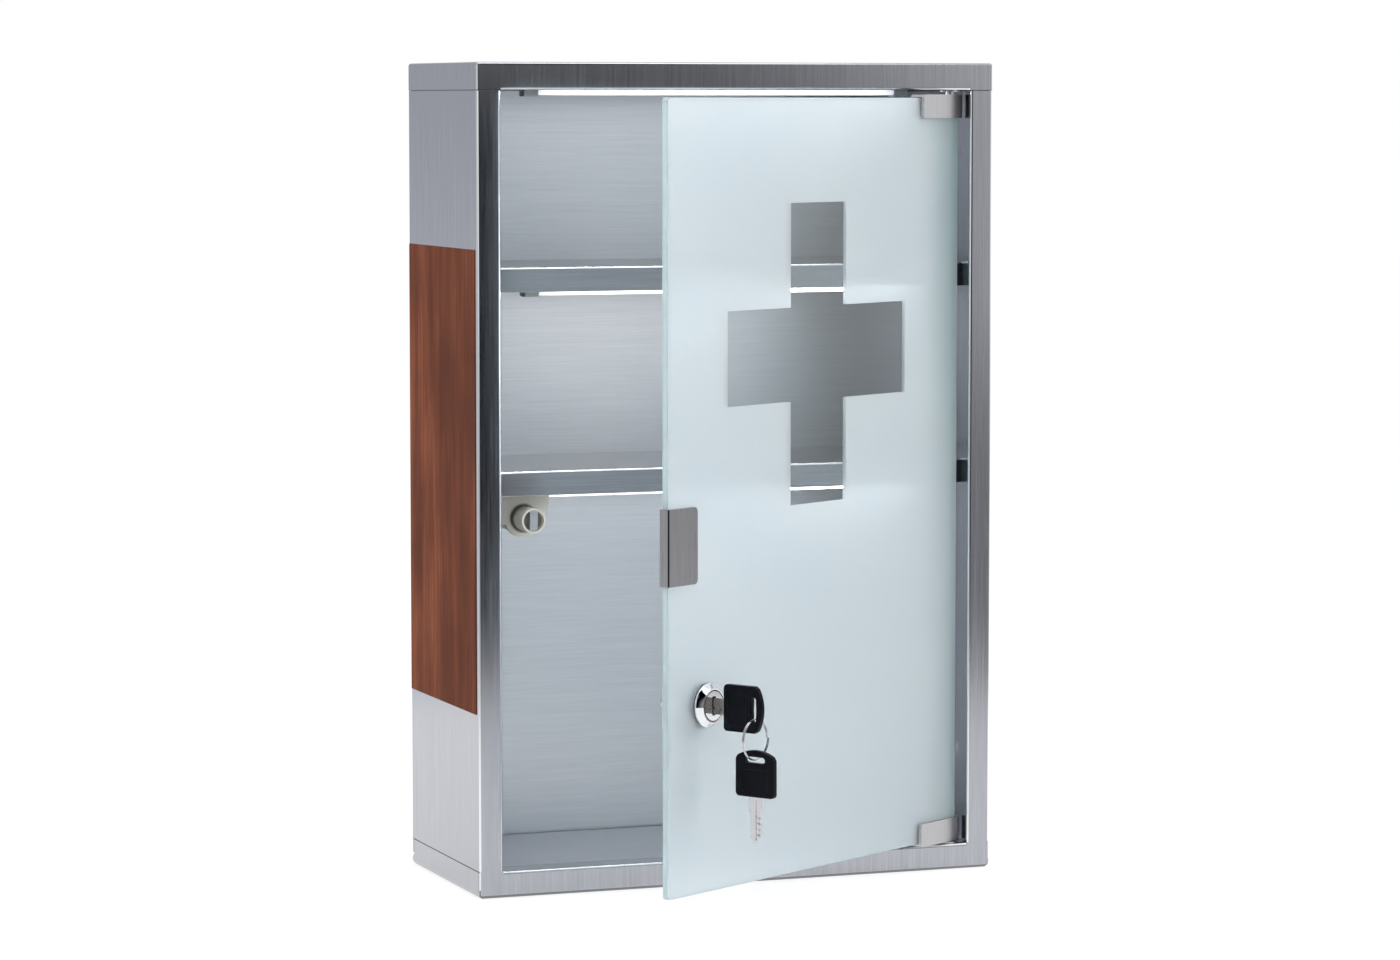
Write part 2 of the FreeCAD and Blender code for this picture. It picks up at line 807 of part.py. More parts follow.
def build_lock_plug():
    """Turning plug with a keyway in front and a square for the cam behind."""
    plug = fused(
        lock_rod(plug_head_diameter / 2.0, plug_face - plug_head_thickness, plug_face),
        lock_rod(plug_diameter / 2.0, plug_end, plug_face - plug_head_thickness),
        lock_block(cam_square, cam_square, plug_end - cam_thickness, plug_end),
    )
    keyway_end = plug_face - key_bit_length - 2.0 * keyway_clearance
    keyway_width = key_thickness + 2.0 * keyway_clearance
    keyway = lock_block(keyway_width, key_bit_width + 2.0 * keyway_clearance, keyway_end, plug_face + over)
    screw_end = plug_end - cam_thickness
    tapping = lock_rod(cam_screw_diameter / 2.0, screw_end - over, screw_end + cam_screw_depth)
    return plug.cut(keyway).cut(tapping)


def build_lock_cam():
    """Cranked cam that hangs down from the plug's square when the lock is open."""
    hub = plug_end - cam_thickness / 2.0
    points = [
        (pivot_y - hub, lock_z + cam_tail),
        (pivot_y - hub, lock_z - cam_crank_start),
        (pivot_y - hub - cam_offset, lock_z - cam_crank_start - cam_crank_run),
        (pivot_y - hub - cam_offset, lock_z - cam_reach),
    ]
    cam = folded(points, cam_thickness, cam_bend, section(lock_x - cam_width / 2.0), X_AXIS * cam_width)
    return cam.cut(lock_block(cam_square, cam_square, plug_end - cam_thickness - over, plug_end + over))


def build_cam_screw():
    """Screw that holds the cam on the plug."""
    seat = plug_end - cam_thickness
    end = seat - cam_screw_head_height
    head = lock_rod(cam_screw_head / 2.0, end, seat)
    slot = lock_block(cam_screw_head + over, cam_screw_slot, end - over, (end + seat) / 2.0)
    return fused(head.cut(slot), lock_rod(cam_screw_diameter / 2.0, seat, seat + cam_screw_depth))


def key_face(x):
    """Places 2-D points (a outwards, w up) of the key at a width."""
    return lambda p: vec(x, pivot_y - key_origin - p[0], lock_z + p[1])


def key_box(a0, a1, wide, thick, centre=lock_x):
    """A box of the key, centred on its axis unless it is moved across X."""
    points = [(a0, -wide / 2.0), (a1, -wide / 2.0), (a1, wide / 2.0), (a0, wide / 2.0)]
    return polygon(points, key_face(centre - thick / 2.0), X_AXIS * thick)


def build_key_blade():
    """Nickel blade: tongue in the head, shoulder and cut bit."""
    half = key_bit_width / 2.0
    tip = -key_shoulder_length - key_bit_length
    bit = [(-key_shoulder_length, half), (tip + half, half), (tip, 0.0), (tip + half, -half)]
    first = tip + half + key_cut_pitch / 2.0
    for k in range(key_cuts):
        a = first + k * key_cut_pitch
        depth = key_cut_depth if k % 2 == 0 else key_cut_depth / 2.0
        bit += [(a - key_cut_pitch / 4.0, -half), (a, depth - half), (a + key_cut_pitch / 4.0, -half)]
    bit.append((-key_shoulder_length, -half))
    shoulder = key_box(-key_shoulder_length, 0.0, key_shoulder_width, key_thickness)
    tongue = key_box(0.0, key_tongue, key_bit_width, key_thickness)
    blade = polygon(bit, key_face(lock_x - key_thickness / 2.0), X_AXIS * key_thickness)
    return fused(blade, shoulder, tongue)


def build_key_head():
    """Plastic head with an arched end, a ring slot and a recessed panel on each face."""
    half = head_width / 2.0
    shoulder = head_side_length + head_chamfer_length
    narrow = half - head_chamfer_width
    side = head_side_length
    place = key_face(lock_x - head_thickness / 2.0)
    ends = [(shoulder, -narrow), (side, -half), (0.0, -half), (0.0, half), (side, half), (shoulder, narrow)]
    radii = [head_shoulder_round, head_neck_round, head_neck_round, head_shoulder_round]
    edges = rounded_edges(ends, radii, place)
    edges.append(Part.Arc(place(ends[-1]), place((head_length, 0.0)), place(ends[0])).toShape())
    head = Part.Face(Part.Wire(edges)).extrude(X_AXIS * head_thickness)
    straight = head_slot_length - head_slot_width
    through = head_thickness + 2.0 * over
    slot = key_box(slot_reach - head_slot_width / 2.0, slot_reach + head_slot_width / 2.0, straight, through)
    for w in (-straight / 2.0, straight / 2.0):
        centre = place((slot_reach, w)) - X_AXIS * over
        slot = slot.fuse(Part.makeCylinder(head_slot_width / 2.0, through, centre, X_AXIS))
    head = head.cut(slot).cut(key_box(-over, key_tongue, key_bit_width, key_thickness))
    panel_end = head_panel_inset + head_panel_length
    for face_x in (lock_x - head_thickness / 2.0, lock_x + head_thickness / 2.0):
        panel = key_box(head_panel_inset, panel_end, head_panel_width, 2.0 * head_panel_depth, face_x)
        head = head.cut(panel)
    return head


def ring_places():
    """Ring centre, its upper pivot in key one's slot and its lower pivot in key two's slot."""
    sag = head_slot_length / 2.0 - head_slot_width / 2.0
    upper = vec(lock_x, pivot_y - key_origin - slot_reach, lock_z - sag)
    centre = upper - Z_AXIS * ring_radius - Y_AXIS * (ring_pitch / 4.0)
    lower = centre - Z_AXIS * ring_radius - Y_AXIS * (ring_pitch / 4.0)
    return centre, upper, lower


def ring_point(turn):
    """A point of the ring's wire, and its direction, after a number of turns."""
    centre, upper, lower = ring_places()
    angle = 2.0 * math.pi * turn
    rise = ring_pitch / (2.0 * math.pi)
    axial = ring_pitch * (turn - ring_turns / 2.0)
    point = centre + vec(ring_radius * math.cos(angle), -axial, ring_radius * math.sin(angle))
    way = vec(-ring_radius * math.sin(angle), -rise, ring_radius * math.cos(angle))
    return point, way.normalize()


def tangent_arc(start, apex, end):
    """The arc between two points whose tangents meet at an apex."""
    middle = (start + end) * 0.5
    cosine = middle.distanceToPoint(start) / apex.distanceToPoint(start)
    crown = middle + (apex - middle) * (cosine / (1.0 + cosine))
    return Part.Arc(start, crown, end).toShape()


def build_key_ring():
    """Split ring: two open turns of wire on pairs of arcs, a quarter turn at a time."""
    edges = []
    steps = 4 * ring_turns
    for k in range(steps):
        p, t = ring_point(k / 4.0)
        q, u = ring_point((k + 1) / 4.0)
        chord = q - p
        both = t + u
        lean = 2.0 * (1.0 - t.dot(u))
        reach = (-chord.dot(both) + math.sqrt(chord.dot(both) ** 2 + lean * chord.dot(chord))) / lean
        first = p + t * reach
        second = q - u * reach
        joint = (first + second) * 0.5
        edges += [tangent_arc(p, first, joint), tangent_arc(joint, second, q)]
    spine = Part.Wire(edges)
    start, way = ring_point(0.0)
    wire = Part.Wire(Part.makeCircle(ring_wire / 2.0, start, way))
    return Part.Solid(spine.makePipeShell([wire], True, False))


def ring_least_gap():
    """Least gap between the ring's turns, measured on points of its wire."""
    count = 240 * ring_turns
    points = [ring_point(ring_turns * k / count)[0] for k in range(count + 1)]
    apart = count // (2 * ring_turns)
    gaps = [p.distanceToPoint(q) for i, p in enumerate(points) for q in points[i + apart:]]
    return min(gaps) - ring_wire


def hung(shape):
    """A copy of key one's piece hanging from the ring's lower side."""
    centre, upper, lower = ring_places()
    slot = vec(lock_x, pivot_y - key_origin - slot_reach, lock_z)
    copy = shape.copy()
    copy.rotate(slot, X_AXIS, -90.0)
    copy.translate(lower - slot)
    return copy


def latch_rod(radius, y0, y1):
    """A cylinder on the latch's axis."""
    return rod(radius, vec(latch_x, y0, latch_z), vec(latch_x, y1, latch_z))


def latch_screw_places():
    """Where the latch's screws pass up into the lower shelf."""
    middle = latch_front + latch_plate + latch_lug_depth / 2.0
    left = latch_x - latch_boss
    return [(left, middle - latch_screw_pitch / 2.0), (left, middle + latch_screw_pitch / 2.0)]


def build_latch_housing():
    """Front plate, barrel, rib and a lug screwed under the lower shelf."""
    wall = 2.0 * sheet - half_width
    right = latch_x + latch_right_reach
    shoulder = latch_z + plunger_diameter / 2.0
    foot = shoulder - latch_plate_round
    outline = [(wall, foot), (right, foot), (right, latch_roof), (wall, latch_roof)]
    radii = [0.0, latch_plate_round, 0.0, 0.0]
    plate = rounded_plate(outline, radii, elevation(latch_front), Y_AXIS * latch_plate)
    boss = latch_rod(latch_boss, latch_front, latch_front + latch_plate)
    bore = plunger_diameter / 2.0 + plunger_clearance
    tube = latch_rod(bore + barrel_wall, latch_front, barrel_floor + barrel_end_wall)
    lug_back = latch_front + latch_plate + latch_lug_depth
    lug = block(wall, latch_x, latch_front, lug_back, latch_roof - latch_lug, latch_roof)
    rib = block(latch_x - latch_rib, latch_x, latch_front, lug_back, latch_z + bore, latch_roof)
    housing = fused(plate, boss, tube, lug, rib).cut(latch_rod(bore, latch_front - over, barrel_floor))
    for x, y in latch_screw_places():
        centre = vec(x, y, latch_roof - latch_lug - over)
        housing = housing.cut(rod(latch_screw / 2.0, centre, centre + Z_AXIS * (latch_lug + 2.0 * over)))
    return housing


def build_latch_screws():
    """Two screws up through the lug into the shelf."""
    screws = []
    seat = latch_roof - latch_lug
    for x, y in latch_screw_places():
        head = rod(latch_screw_head / 2.0, vec(x, y, seat - latch_screw_head_height), vec(x, y, seat))
        screws.append(fused(head, rod(latch_screw / 2.0, vec(x, y, seat), vec(x, y, latch_roof + sheet))))
    return Part.makeCompound(screws)


def build_latch_plunger():
    """Round plunger: a pocket in its face, a slot for the magnet and a bore for the spring."""
    plunger = latch_rod(plunger_diameter / 2.0, plunger_face, plunger_end)
    pocket_end = plunger_face + plunger_pocket_depth
    plunger = plunger.cut(latch_rod(plunger_pocket / 2.0, plunger_face - over, pocket_end))
    plunger = plunger.cut(magnet_block())
    spring_front = plunger_face + magnet_depth + spring_seat
    return plunger.cut(latch_rod(spring_outer / 2.0 + spring_clearance, spring_front, plunger_end + over))


def magnet_block():
    """The magnet's bar, flush with the plunger's face."""
    x0 = latch_x - magnet_width / 2.0
    z0 = latch_z - magnet_height / 2.0
    return block(x0, x0 + magnet_width, plunger_face, plunger_face + magnet_depth, z0, z0 + magnet_height)


def build_latch_spring():
    """Compression spring hidden in the plunger, as a plain sleeve."""
    spring_front = plunger_face + magnet_depth + spring_seat
    sleeve = latch_rod(spring_outer / 2.0, spring_front, barrel_floor)
    return sleeve.cut(latch_rod(spring_outer / 2.0 - spring_wire, spring_front - over, barrel_floor + over))


key_blade = build_key_blade()
key_head = build_key_head()

fixed_nodes = {
    "top_cap": build_top_cap(),
    "bottom_cap": build_bottom_cap(),
    "floor_panel": build_floor_panel(),
    "left_side_panel": build_side_panel(-1.0),
    "right_side_panel": build_side_panel(1.0),
    "back_panel": build_back_panel(),
    "left_wood_panel": build_wood_panel(-1.0),
    "right_wood_panel": build_wood_panel(1.0),
    "upper_shelf": build_shelf(upper_shelf_top),
    "lower_shelf": build_lower_shelf(),
    "upper_bush": build_bush(True),
    "lower_bush": build_bush(False),
    "latch_housing": build_latch_housing(),
    "latch_screws": build_latch_screws(),
    "latch_spring": build_latch_spring(),
    "latch_plunger": build_latch_plunger(),
    "latch_magnet": magnet_block(),
}
for name, roof, edge in light_places():
    fixed_nodes[name + "_light_channel"] = build_light_channel(roof, edge)
    fixed_nodes[name + "_light_lens"] = build_light_lens(edge)
    fixed_nodes[name + "_light_caps"] = build_light_caps(roof, edge)

gasket_radius = bezel_diameter / 2.0 - gasket_margin
door_nodes = {
    "door_glass": build_door_glass(),
    "upper_hinge_clip": build_clip(True),
    "lower_hinge_clip": build_clip(False),
    "upper_clip_pads": build_clip_pads(True),
    "lower_clip_pads": build_clip_pads(False),
    "clip_screws": build_clip_screws(),
    "upper_pivot_pin": build_pivot_pin(True),
    "lower_pivot_pin": build_pivot_pin(False),
    "push_plate": build_push_plate(),
    "push_plate_tape": build_push_tape(),
    "lock_body": build_lock_body(),
    "lock_gasket": lock_ring(gasket_radius, half_glass, half_glass + lock_gasket),
    "lock_washer": lock_ring(gasket_radius, -half_glass - lock_gasket, -half_glass),
    "lock_nut": build_lock_nut(),
    "lock_plug": build_lock_plug(),
    "lock_cam": build_lock_cam(),
    "cam_screw": build_cam_screw(),
    "key_one_blade": key_blade,
    "key_one_head": key_head,
    "key_ring": build_key_ring(),
    "key_two_blade": hung(key_blade),
    "key_two_head": hung(key_head),
}

os.makedirs("parts", exist_ok=True)
nodes = dict(fixed_nodes)
nodes.update({name: opened(shape) for name, shape in door_nodes.items()})
for name, shape in nodes.items():
    shape.exportStep("parts/" + name + ".step")
    state = "valid" if shape.isValid() else "INVALID"
    print(name, state, len(shape.Solids), "solids", round(shape.Volume, 1), "mm3")

print("least gap between the ring's turns", round(ring_least_gap(), 3), "mm")
ring_centre, ring_upper, ring_lower = ring_places()
markers = {
    "lock axis": lock_point(0.0),
    "ring pivot": ring_upper,
    "key two pivot": ring_lower,
    "ring centre": ring_centre,
}
for name, point in markers.items():
    print(name, [round(c, 4) for c in opened(Part.Vertex(point)).Point])
print("door pivot", round(pivot_x, 4), round(pivot_y, 4))
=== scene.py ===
"""Looks of a wall medicine cabinet: folded steel case, etched glass door, cam lock with two keys, push latch.

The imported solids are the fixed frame. Sizes of the pieces are millimetres in that frame. Finishes, lamps and the
finished meshes are in metres.
"""

import functools
import logging
import math
from collections.abc import Callable
from dataclasses import dataclass, field
from enum import Enum

import bmesh
import bpy
import numpy as np
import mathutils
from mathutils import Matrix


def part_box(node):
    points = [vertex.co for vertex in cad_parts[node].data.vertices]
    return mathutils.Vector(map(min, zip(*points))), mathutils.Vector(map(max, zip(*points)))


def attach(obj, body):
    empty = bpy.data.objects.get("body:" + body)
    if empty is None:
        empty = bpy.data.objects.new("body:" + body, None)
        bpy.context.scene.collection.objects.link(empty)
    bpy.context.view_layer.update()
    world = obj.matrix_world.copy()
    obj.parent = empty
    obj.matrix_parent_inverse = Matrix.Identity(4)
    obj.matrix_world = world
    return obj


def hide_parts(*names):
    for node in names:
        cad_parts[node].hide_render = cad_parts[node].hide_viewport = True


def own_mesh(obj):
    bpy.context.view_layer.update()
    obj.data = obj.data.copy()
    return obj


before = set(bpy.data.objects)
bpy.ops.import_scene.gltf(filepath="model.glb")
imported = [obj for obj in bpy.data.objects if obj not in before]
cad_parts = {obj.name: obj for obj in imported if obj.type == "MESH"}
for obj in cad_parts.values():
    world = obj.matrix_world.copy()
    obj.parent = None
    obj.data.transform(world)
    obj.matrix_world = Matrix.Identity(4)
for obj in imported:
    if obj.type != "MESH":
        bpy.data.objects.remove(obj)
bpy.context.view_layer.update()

LOG = logging.getLogger("medicine_cabinet")
MM = 0.001
Array = np.ndarray
Pair = tuple[float, float]
Vector = tuple[float, float, float]
Colour = tuple[float, float, float]
Value = "Wire | float"
Placing = Callable[..., Array]

ORIGIN: Vector = (0.0, 0.0, 0.0)
RIGHT: Vector = (1.0, 0.0, 0.0)
FORWARDS: Vector = (0.0, -1.0, 0.0)
REARWARDS: Vector = (0.0, 1.0, 0.0)
UPWARDS: Vector = (0.0, 0.0, 1.0)

# Edges that turn by more than this many degrees stay crisp.
CRISP = 38.0
# Point of the floor plan about which the studio's cards stand.
CARD_CENTRE: Vector = (0.0, -0.12, 0.0)


class Grain(Enum):
    """Way that a brushed or printed grain runs: how fast its pattern changes along x, y and z."""

    UP = (1.0, 1.0, 0.02)
    FIGURE = (1.0, 1.0, 0.13)
    ACROSS = (0.02, 1.0, 1.0)
    DEEP = (1.0, 0.02, 1.0)
    NONE = (1.0, 1.0, 1.0)


class Wire:
    """A shader socket whose operators add Math nodes."""

    def __init__(self, bench: "Bench", socket: bpy.types.NodeSocket) -> None:
        """Keeps the socket and the bench that it belongs to."""
        self.bench = bench
        self.socket = socket

    def math(self, operation: str, *values: Value) -> "Wire":
        """Result of a Math node on these values."""
        return self.bench.wire("ShaderNodeMath", {"operation": operation}, dict(enumerate(values)))

    def __add__(self, other: Value) -> "Wire":
        """Sum."""
        return self.math("ADD", self, other)

    def __sub__(self, other: Value) -> "Wire":
        """Difference."""
        return self.math("SUBTRACT", self, other)

    def __rsub__(self, other: Value) -> "Wire":
        """Difference from a number."""
        return self.math("SUBTRACT", other, self)

    def __mul__(self, other: Value) -> "Wire":
        """Product."""
        return self.math("MULTIPLY", self, other)

    def __abs__(self) -> "Wire":
        """Size without sign."""
        return self.math("ABSOLUTE", self)

    def __lt__(self, limit: Value) -> "Wire":
        """One where the value is under a limit, otherwise nought."""
        return self.math("LESS_THAN", self, limit)

    def __gt__(self, limit: Value) -> "Wire":
        """One where the value is over a limit, otherwise nought."""
        return self.math("GREATER_THAN", self, limit)

    def __or__(self, other: Value) -> "Wire":
        """Larger of two masks."""
        return self.math("MAXIMUM", self, other)

    __radd__ = __add__
    __rmul__ = __mul__

    def near(self, place: float, half: float) -> "Wire":
        """One where the value is within half a width of a place, otherwise nought."""
        return abs(self - place) < half

    def hypot(self, other: "Wire") -> "Wire":
        """Length across a right angle with these two sides."""
        return self.math("SQRT", self * self + other * other)

    def ease(self, low: float, high: float) -> "Wire":
        """Smooth step from nought at low to one at high."""
        inputs = {"Value": self, "From Min": low, "From Max": high}
        return self.bench.wire("ShaderNodeMapRange", {"interpolation_type": "SMOOTHSTEP"}, inputs)


class Bench:
    """Node tree of a material or a world, and the one place where its nodes are made.

    A face is a flat where its normal's largest share is past the pair FLAT, and a lid where its upright share is
    over LID.
    """

    FLAT: Pair = (0.88, 0.985)
    LID: float = 0.7

    def __init__(self, owner: bpy.types.Material | bpy.types.World) -> None:
        """Empties the owner's node tree.

        Args:
            owner: Material or world.
        """
        owner.use_nodes = True
        self.tree = owner.node_tree
        self.tree.nodes.clear()

    def node(self, kind: str, settings: dict | None = None, inputs: dict | None = None) -> bpy.types.Node:
        """Adds a node.

        Args:
            kind: The node's type.
            settings: Attributes that are set first.
            inputs: Numbers, colours or wires for its sockets, by name or place.

        Returns:
            The node.
        """
        made = self.tree.nodes.new(kind)
        for key, value in (settings or {}).items():
            setattr(made, key, value)
        for key, value in (inputs or {}).items():
            if isinstance(value, Wire):
                self.tree.links.new(value.socket, made.inputs[key])
            else:
                made.inputs[key].default_value = value
        return made

    def wire(
        self, kind: str, settings: dict | None = None, inputs: dict | None = None, output: int | str = 0,
    ) -> Wire:
        """Adds a node and takes one of its outputs, by name or place."""
        return Wire(self, self.node(kind, settings, inputs).outputs[output])

    def read(self, output: str) -> Wire:
        """One of the Texture Coordinate node's outputs."""
        return self.wire("ShaderNodeTexCoord", output=output)

    def dot(self, vector: Wire, way: Vector) -> Wire:
        """Dot product of a vector and a direction."""
        return self.wire("ShaderNodeVectorMath", {"operation": "DOT_PRODUCT"}, {0: vector, 1: way}, "Value")

    def along(self, origin: Vector, way: Vector) -> Wire:
        """Distance in metres from an origin along a direction, in Object coordinates."""
        moved = self.wire("ShaderNodeVectorMath", {"operation": "SUBTRACT"}, {0: self.read("Object"), 1: origin})
        return self.dot(moved, way)

    def noise(self, scale: float, grain: Grain = Grain.NONE, detail: float = 2.0, fade: float = 0.5) -> Wire:
        """Noise from nought to one, drawn out along a grain.

        Args:
            scale: How fine it is, in patches to the metre.
            grain: Way that it is drawn out.
            detail: How many finer layers are laid over it.
            fade: Strength of each finer layer against the one before.

        Returns:
            The noise.
        """
        place = self.wire("ShaderNodeMapping", None, {"Vector": self.read("Object"), "Scale": grain.value})
        inputs = {"Vector": place, "Scale": scale, "Detail": detail, "Roughness": fade}
        return self.wire("ShaderNodeTexNoise", None, inputs)

    def lids(self) -> Wire:
        """One on faces that look up or down, otherwise nought."""
        return abs(self.dot(self.read("Normal"), UPWARDS)) > self.LID

    def bends(self, first: Vector, second: Vector) -> Wire:
        """One on bends, whose faces look between a part's two level directions and up, otherwise nought.

        Args:
            first: One level direction that the part's flats look in.
            second: The other one.

        Returns:
            The mask.
        """
        normal = self.read("Normal")
        shares = [abs(self.dot(normal, way)) for way in (first, second, UPWARDS)]
        return 1.0 - (shares[0] | shares[1] | shares[2]).ease(*self.FLAT)

    def tint(self, factor: Value, first: Colour | Wire, second: Colour | Wire) -> Wire:
        """Colour between two colours.

        Args:
            factor: Share of the second colour.
            first: Colour where the factor is nought.
            second: Colour where the factor is one.

        Returns:
            The mixed colour.
        """
        ends = [(*c, 1.0) if isinstance(c, tuple) else c for c in (first, second)]
        return self.wire("ShaderNodeMix", {"data_type": "RGBA"}, {0: factor, 6: ends[0], 7: ends[1]}, 2)

    def mottled(self, mask: Wire, colour: Colour, spread: float) -> Wire:
        """A colour that goes from darker to lighter with a mask, by a share of itself."""
        return self.tint(mask, shade(colour, 1.0 - spread), shade(colour, 1.0 + spread))

    def bump(self, height: Wire, strength: float, distance: float) -> Wire:
        """Normal roughened by a height; distance is in metres."""
        inputs = {"Height": height, "Strength": strength, "Distance": distance}
        return self.wire("ShaderNodeBump", None, inputs)

    def principled(self, inputs: dict) -> Wire:
        """A Principled shader with these inputs."""
        return self.wire("ShaderNodeBsdfPrincipled", None, inputs)

    def surface(self, shader: Wire) -> None:
        """Joins a shader to the material's output."""
        self.node("ShaderNodeOutputMaterial", None, {"Surface": shader})


def shade(colour: Colour, share: float) -> Colour:
    """A colour times a share of light."""
    return tuple(min(1.0, c * share) for c in colour)


@dataclass(frozen=True)
class Leaf:
    """The door's own axes at rest: s from the pivot to the free edge, t out from the glass, z up.

    The pivot is a place in x and y, and the lock a place in s and z.
    """

    pivot: Pair = (127.0, -117.2)
    angle: float = math.radians(32.0)
    half_glass: float = 2.0
    lock: Pair = (224.0, -109.0)

    @property
    def along(self) -> Vector:
        """Direction from the pivot to the free edge."""
        return (-math.cos(self.angle), -math.sin(self.angle), 0.0)

    @property
    def out(self) -> Vector:
        """Direction out from the glass."""
        return (math.sin(self.angle), -math.cos(self.angle), 0.0)

    def place(self, s: Array | float, t: Array | float, z: Array | float) -> Array:
        """Points of the frame for door places: the pivot, plus s along, plus t out, with z kept.

        Args:
            s: Distances from the pivot towards the free edge.
            t: Distances out from the glass's middle.
            z: Heights.

        Returns:
            The points, with x, y and z along the last axis.
        """
        s, t, z = np.broadcast_arrays(s, t, z)
        x = self.pivot[0] + self.along[0] * s + self.out[0] * t
        y = self.pivot[1] + self.along[1] * s + self.out[1] * t
        return np.stack([x, y, z], axis=-1)


LEAF = Leaf()


@dataclass(frozen=True)
class Finish:
    """A surface finish, with the record's material slot that it stands for."""

    name: str
    slot: str

    def build(self, bench: Bench) -> None:
        """Adds the finish's nodes to a bench."""
        raise NotImplementedError


@functools.cache
def material_of(finish: Finish) -> bpy.types.Material:
    """The material of a finish, made once.

    Args:
        finish: The finish.

    Returns:
        Its material.
    """
    made = bpy.data.materials.new(finish.name)
    finish.build(Bench(made))
    return made


@dataclass(frozen=True)
class BrushedMetal(Finish):
    """Metal with fine brush lines, broad soft streaks and faint wiping clouds.

    Walls carry one grain and faces that look up or down another. Bends get a painted highlight, by a share, but not
    those above a height; on the push plate that painted tone is dark, a painted shade. Bends at the foot get painted
    shade, and the seams of the caps are dark. A seam is a height and half the width of its line, and the lower one
    shows on the case's outer sides alone.
    """

    colour: Colour = (0.412, 0.422, 0.457)
    grain: Grain = Grain.UP
    lid_grain: Grain = Grain.ACROSS
    roughness: float = 0.175
    streak_dulling: float = 0.16
    cloud_dulling: float = 0.06
    lines: float = 1200.0
    broad: float = 0.40
    fine_share: float = 0.70
    clouds: float = 7.0
    contrast: float = 0.12
    relief: float = 0.03
    relief_height: float = 0.0002
    # Painted highlight on bends: its colour, its share, and the heights above which it stops; dark on the push plate.
    bend_painted_light: Colour = (0.94, 0.95, 0.97)
    bend_painted_light_share: float = 0.85
    bend_painted_light_top: Pair = (0.223, 0.224)
    # Painted shade on bends below this height, by this share.
    foot_shade_height: float = -0.220
    foot_shade_share: float = 0.8
    level_ways: tuple[Vector, Vector] = (RIGHT, REARWARDS)
    seam: Pair = (0.2100, 0.0003)
    foot_seam: Pair = (-0.2102, 0.0004)
    outer_side: float = 0.1497
    seam_share: float = 0.7
    # Share of the colour used for the painted shade at the foot and for the dark seams.
    dark: float = 0.12

    def streaks(self, bench: Bench, grain: Grain) -> Wire:
        """Brush lines of two widths along a grain, about a half.

        Args:
            bench: Node tree of the material.
            grain: Way that the lines run.

        Returns:
            The lines.
        """
        fine = bench.noise(self.lines, grain, 3.0, 0.65)
        broad = bench.noise(self.lines * self.broad, grain)
        return fine * self.fine_share + broad * (1.0 - self.fine_share)

    def build(self, bench: Bench) -> None:
        """Adds the finish's nodes.

        Args:
            bench: Empty node tree of the material.
        """
        walls = self.streaks(bench, self.grain)
        streak = walls + (self.streaks(bench, self.lid_grain) - walls) * bench.lids()
        clouds = bench.noise(self.clouds, detail=3.0)
        colour = bench.mottled(streak.ease(0.25, 0.75), self.colour, self.contrast)
        dark = shade(self.colour, self.dark)
        high = bench.along(ORIGIN, UPWARDS)
        below = 1.0 - high.ease(*self.bend_painted_light_top)
        bends = bench.bends(*self.level_ways)
        # Painted highlight on the bends below the top.
        colour = bench.tint(bends * below * self.bend_painted_light_share, colour, self.bend_painted_light)
        # Painted shade on the bends at the foot of the case.
        colour = bench.tint(bends * (high < self.foot_shade_height) * self.foot_shade_share, colour, dark)
        outer = abs(bench.along(ORIGIN, RIGHT)) > self.outer_side
        seams = high.near(*self.seam) | high.near(*self.foot_seam) * outer
        colour = bench.tint(seams * self.seam_share, colour, dark)
        rough = self.roughness + (streak - 0.5) * self.streak_dulling + (clouds - 0.5) * self.cloud_dulling
        normal = bench.bump(streak, self.relief, self.relief_height)
        inputs = {"Base Color": colour, "Metallic": 1.0, "Roughness": rough, "Normal": normal}
        bench.surface(bench.principled(inputs))


@dataclass(frozen=True)
class PolishedMetal(Finish):
    """Plated or polished metal: a clear shine with faint haze and short rubbed scratches."""

    colour: Colour = (0.78, 0.79, 0.81)
    roughness: float = 0.08
    haze: float = 0.05
    scratch: float = 0.02
    haze_scale: float = 160.0
    haze_share: float = 0.93
    scratch_scale: float = 2600.0
    scratch_height: float = 0.00005
    shadow: Colour = (0.010, 0.010, 0.012)

    def shadows(self, bench: Bench) -> Value:
        """Where the metal is in deep shade: nowhere."""
        return 0.0

    def build(self, bench: Bench) -> None:
        """Adds the finish's nodes.

        Args:
            bench: Empty node tree of the material.
        """
        haze = bench.noise(self.haze_scale, detail=4.0, fade=0.6)
        scratch = bench.noise(self.scratch_scale, Grain.DEEP)
        colour = bench.tint(haze.ease(0.3, 0.7), shade(self.colour, self.haze_share), self.colour)
        colour = bench.tint(self.shadows(bench), colour, self.shadow)
        rough = self.roughness + haze.ease(0.4, 0.75) * self.haze + scratch.ease(0.6, 0.8) * self.scratch
        normal = bench.bump(scratch, self.scratch * 2.0, self.scratch_height)
        inputs = {"Base Color": colour, "Metallic": 1.0, "Roughness": rough, "Normal": normal}
        bench.surface(bench.principled(inputs))


@dataclass(frozen=True)
class PlugFace(PolishedMetal):
    """Polished plug whose face has a dark gap round it and a dark keyhole, given by half its width and height."""

    middle: Vector = ORIGIN
    across: Vector = RIGHT
    gap: Pair = (0.00770, 0.00790)
    keyhole: Pair = (0.0015, 0.0050)

    def shadows(self, bench: Bench) -> Wire:
        """Where the metal is in deep shade: in the gap and the keyhole.

        Args:
            bench: Node tree of the material.

        Returns:
            The mask.
        """
        side = bench.along(self.middle, self.across)
        up = bench.along(self.middle, UPWARDS)
        hole = (abs(side) < self.keyhole[0]) * (abs(up) < self.keyhole[1])
        return side.hypot(up).ease(*self.gap) | hole


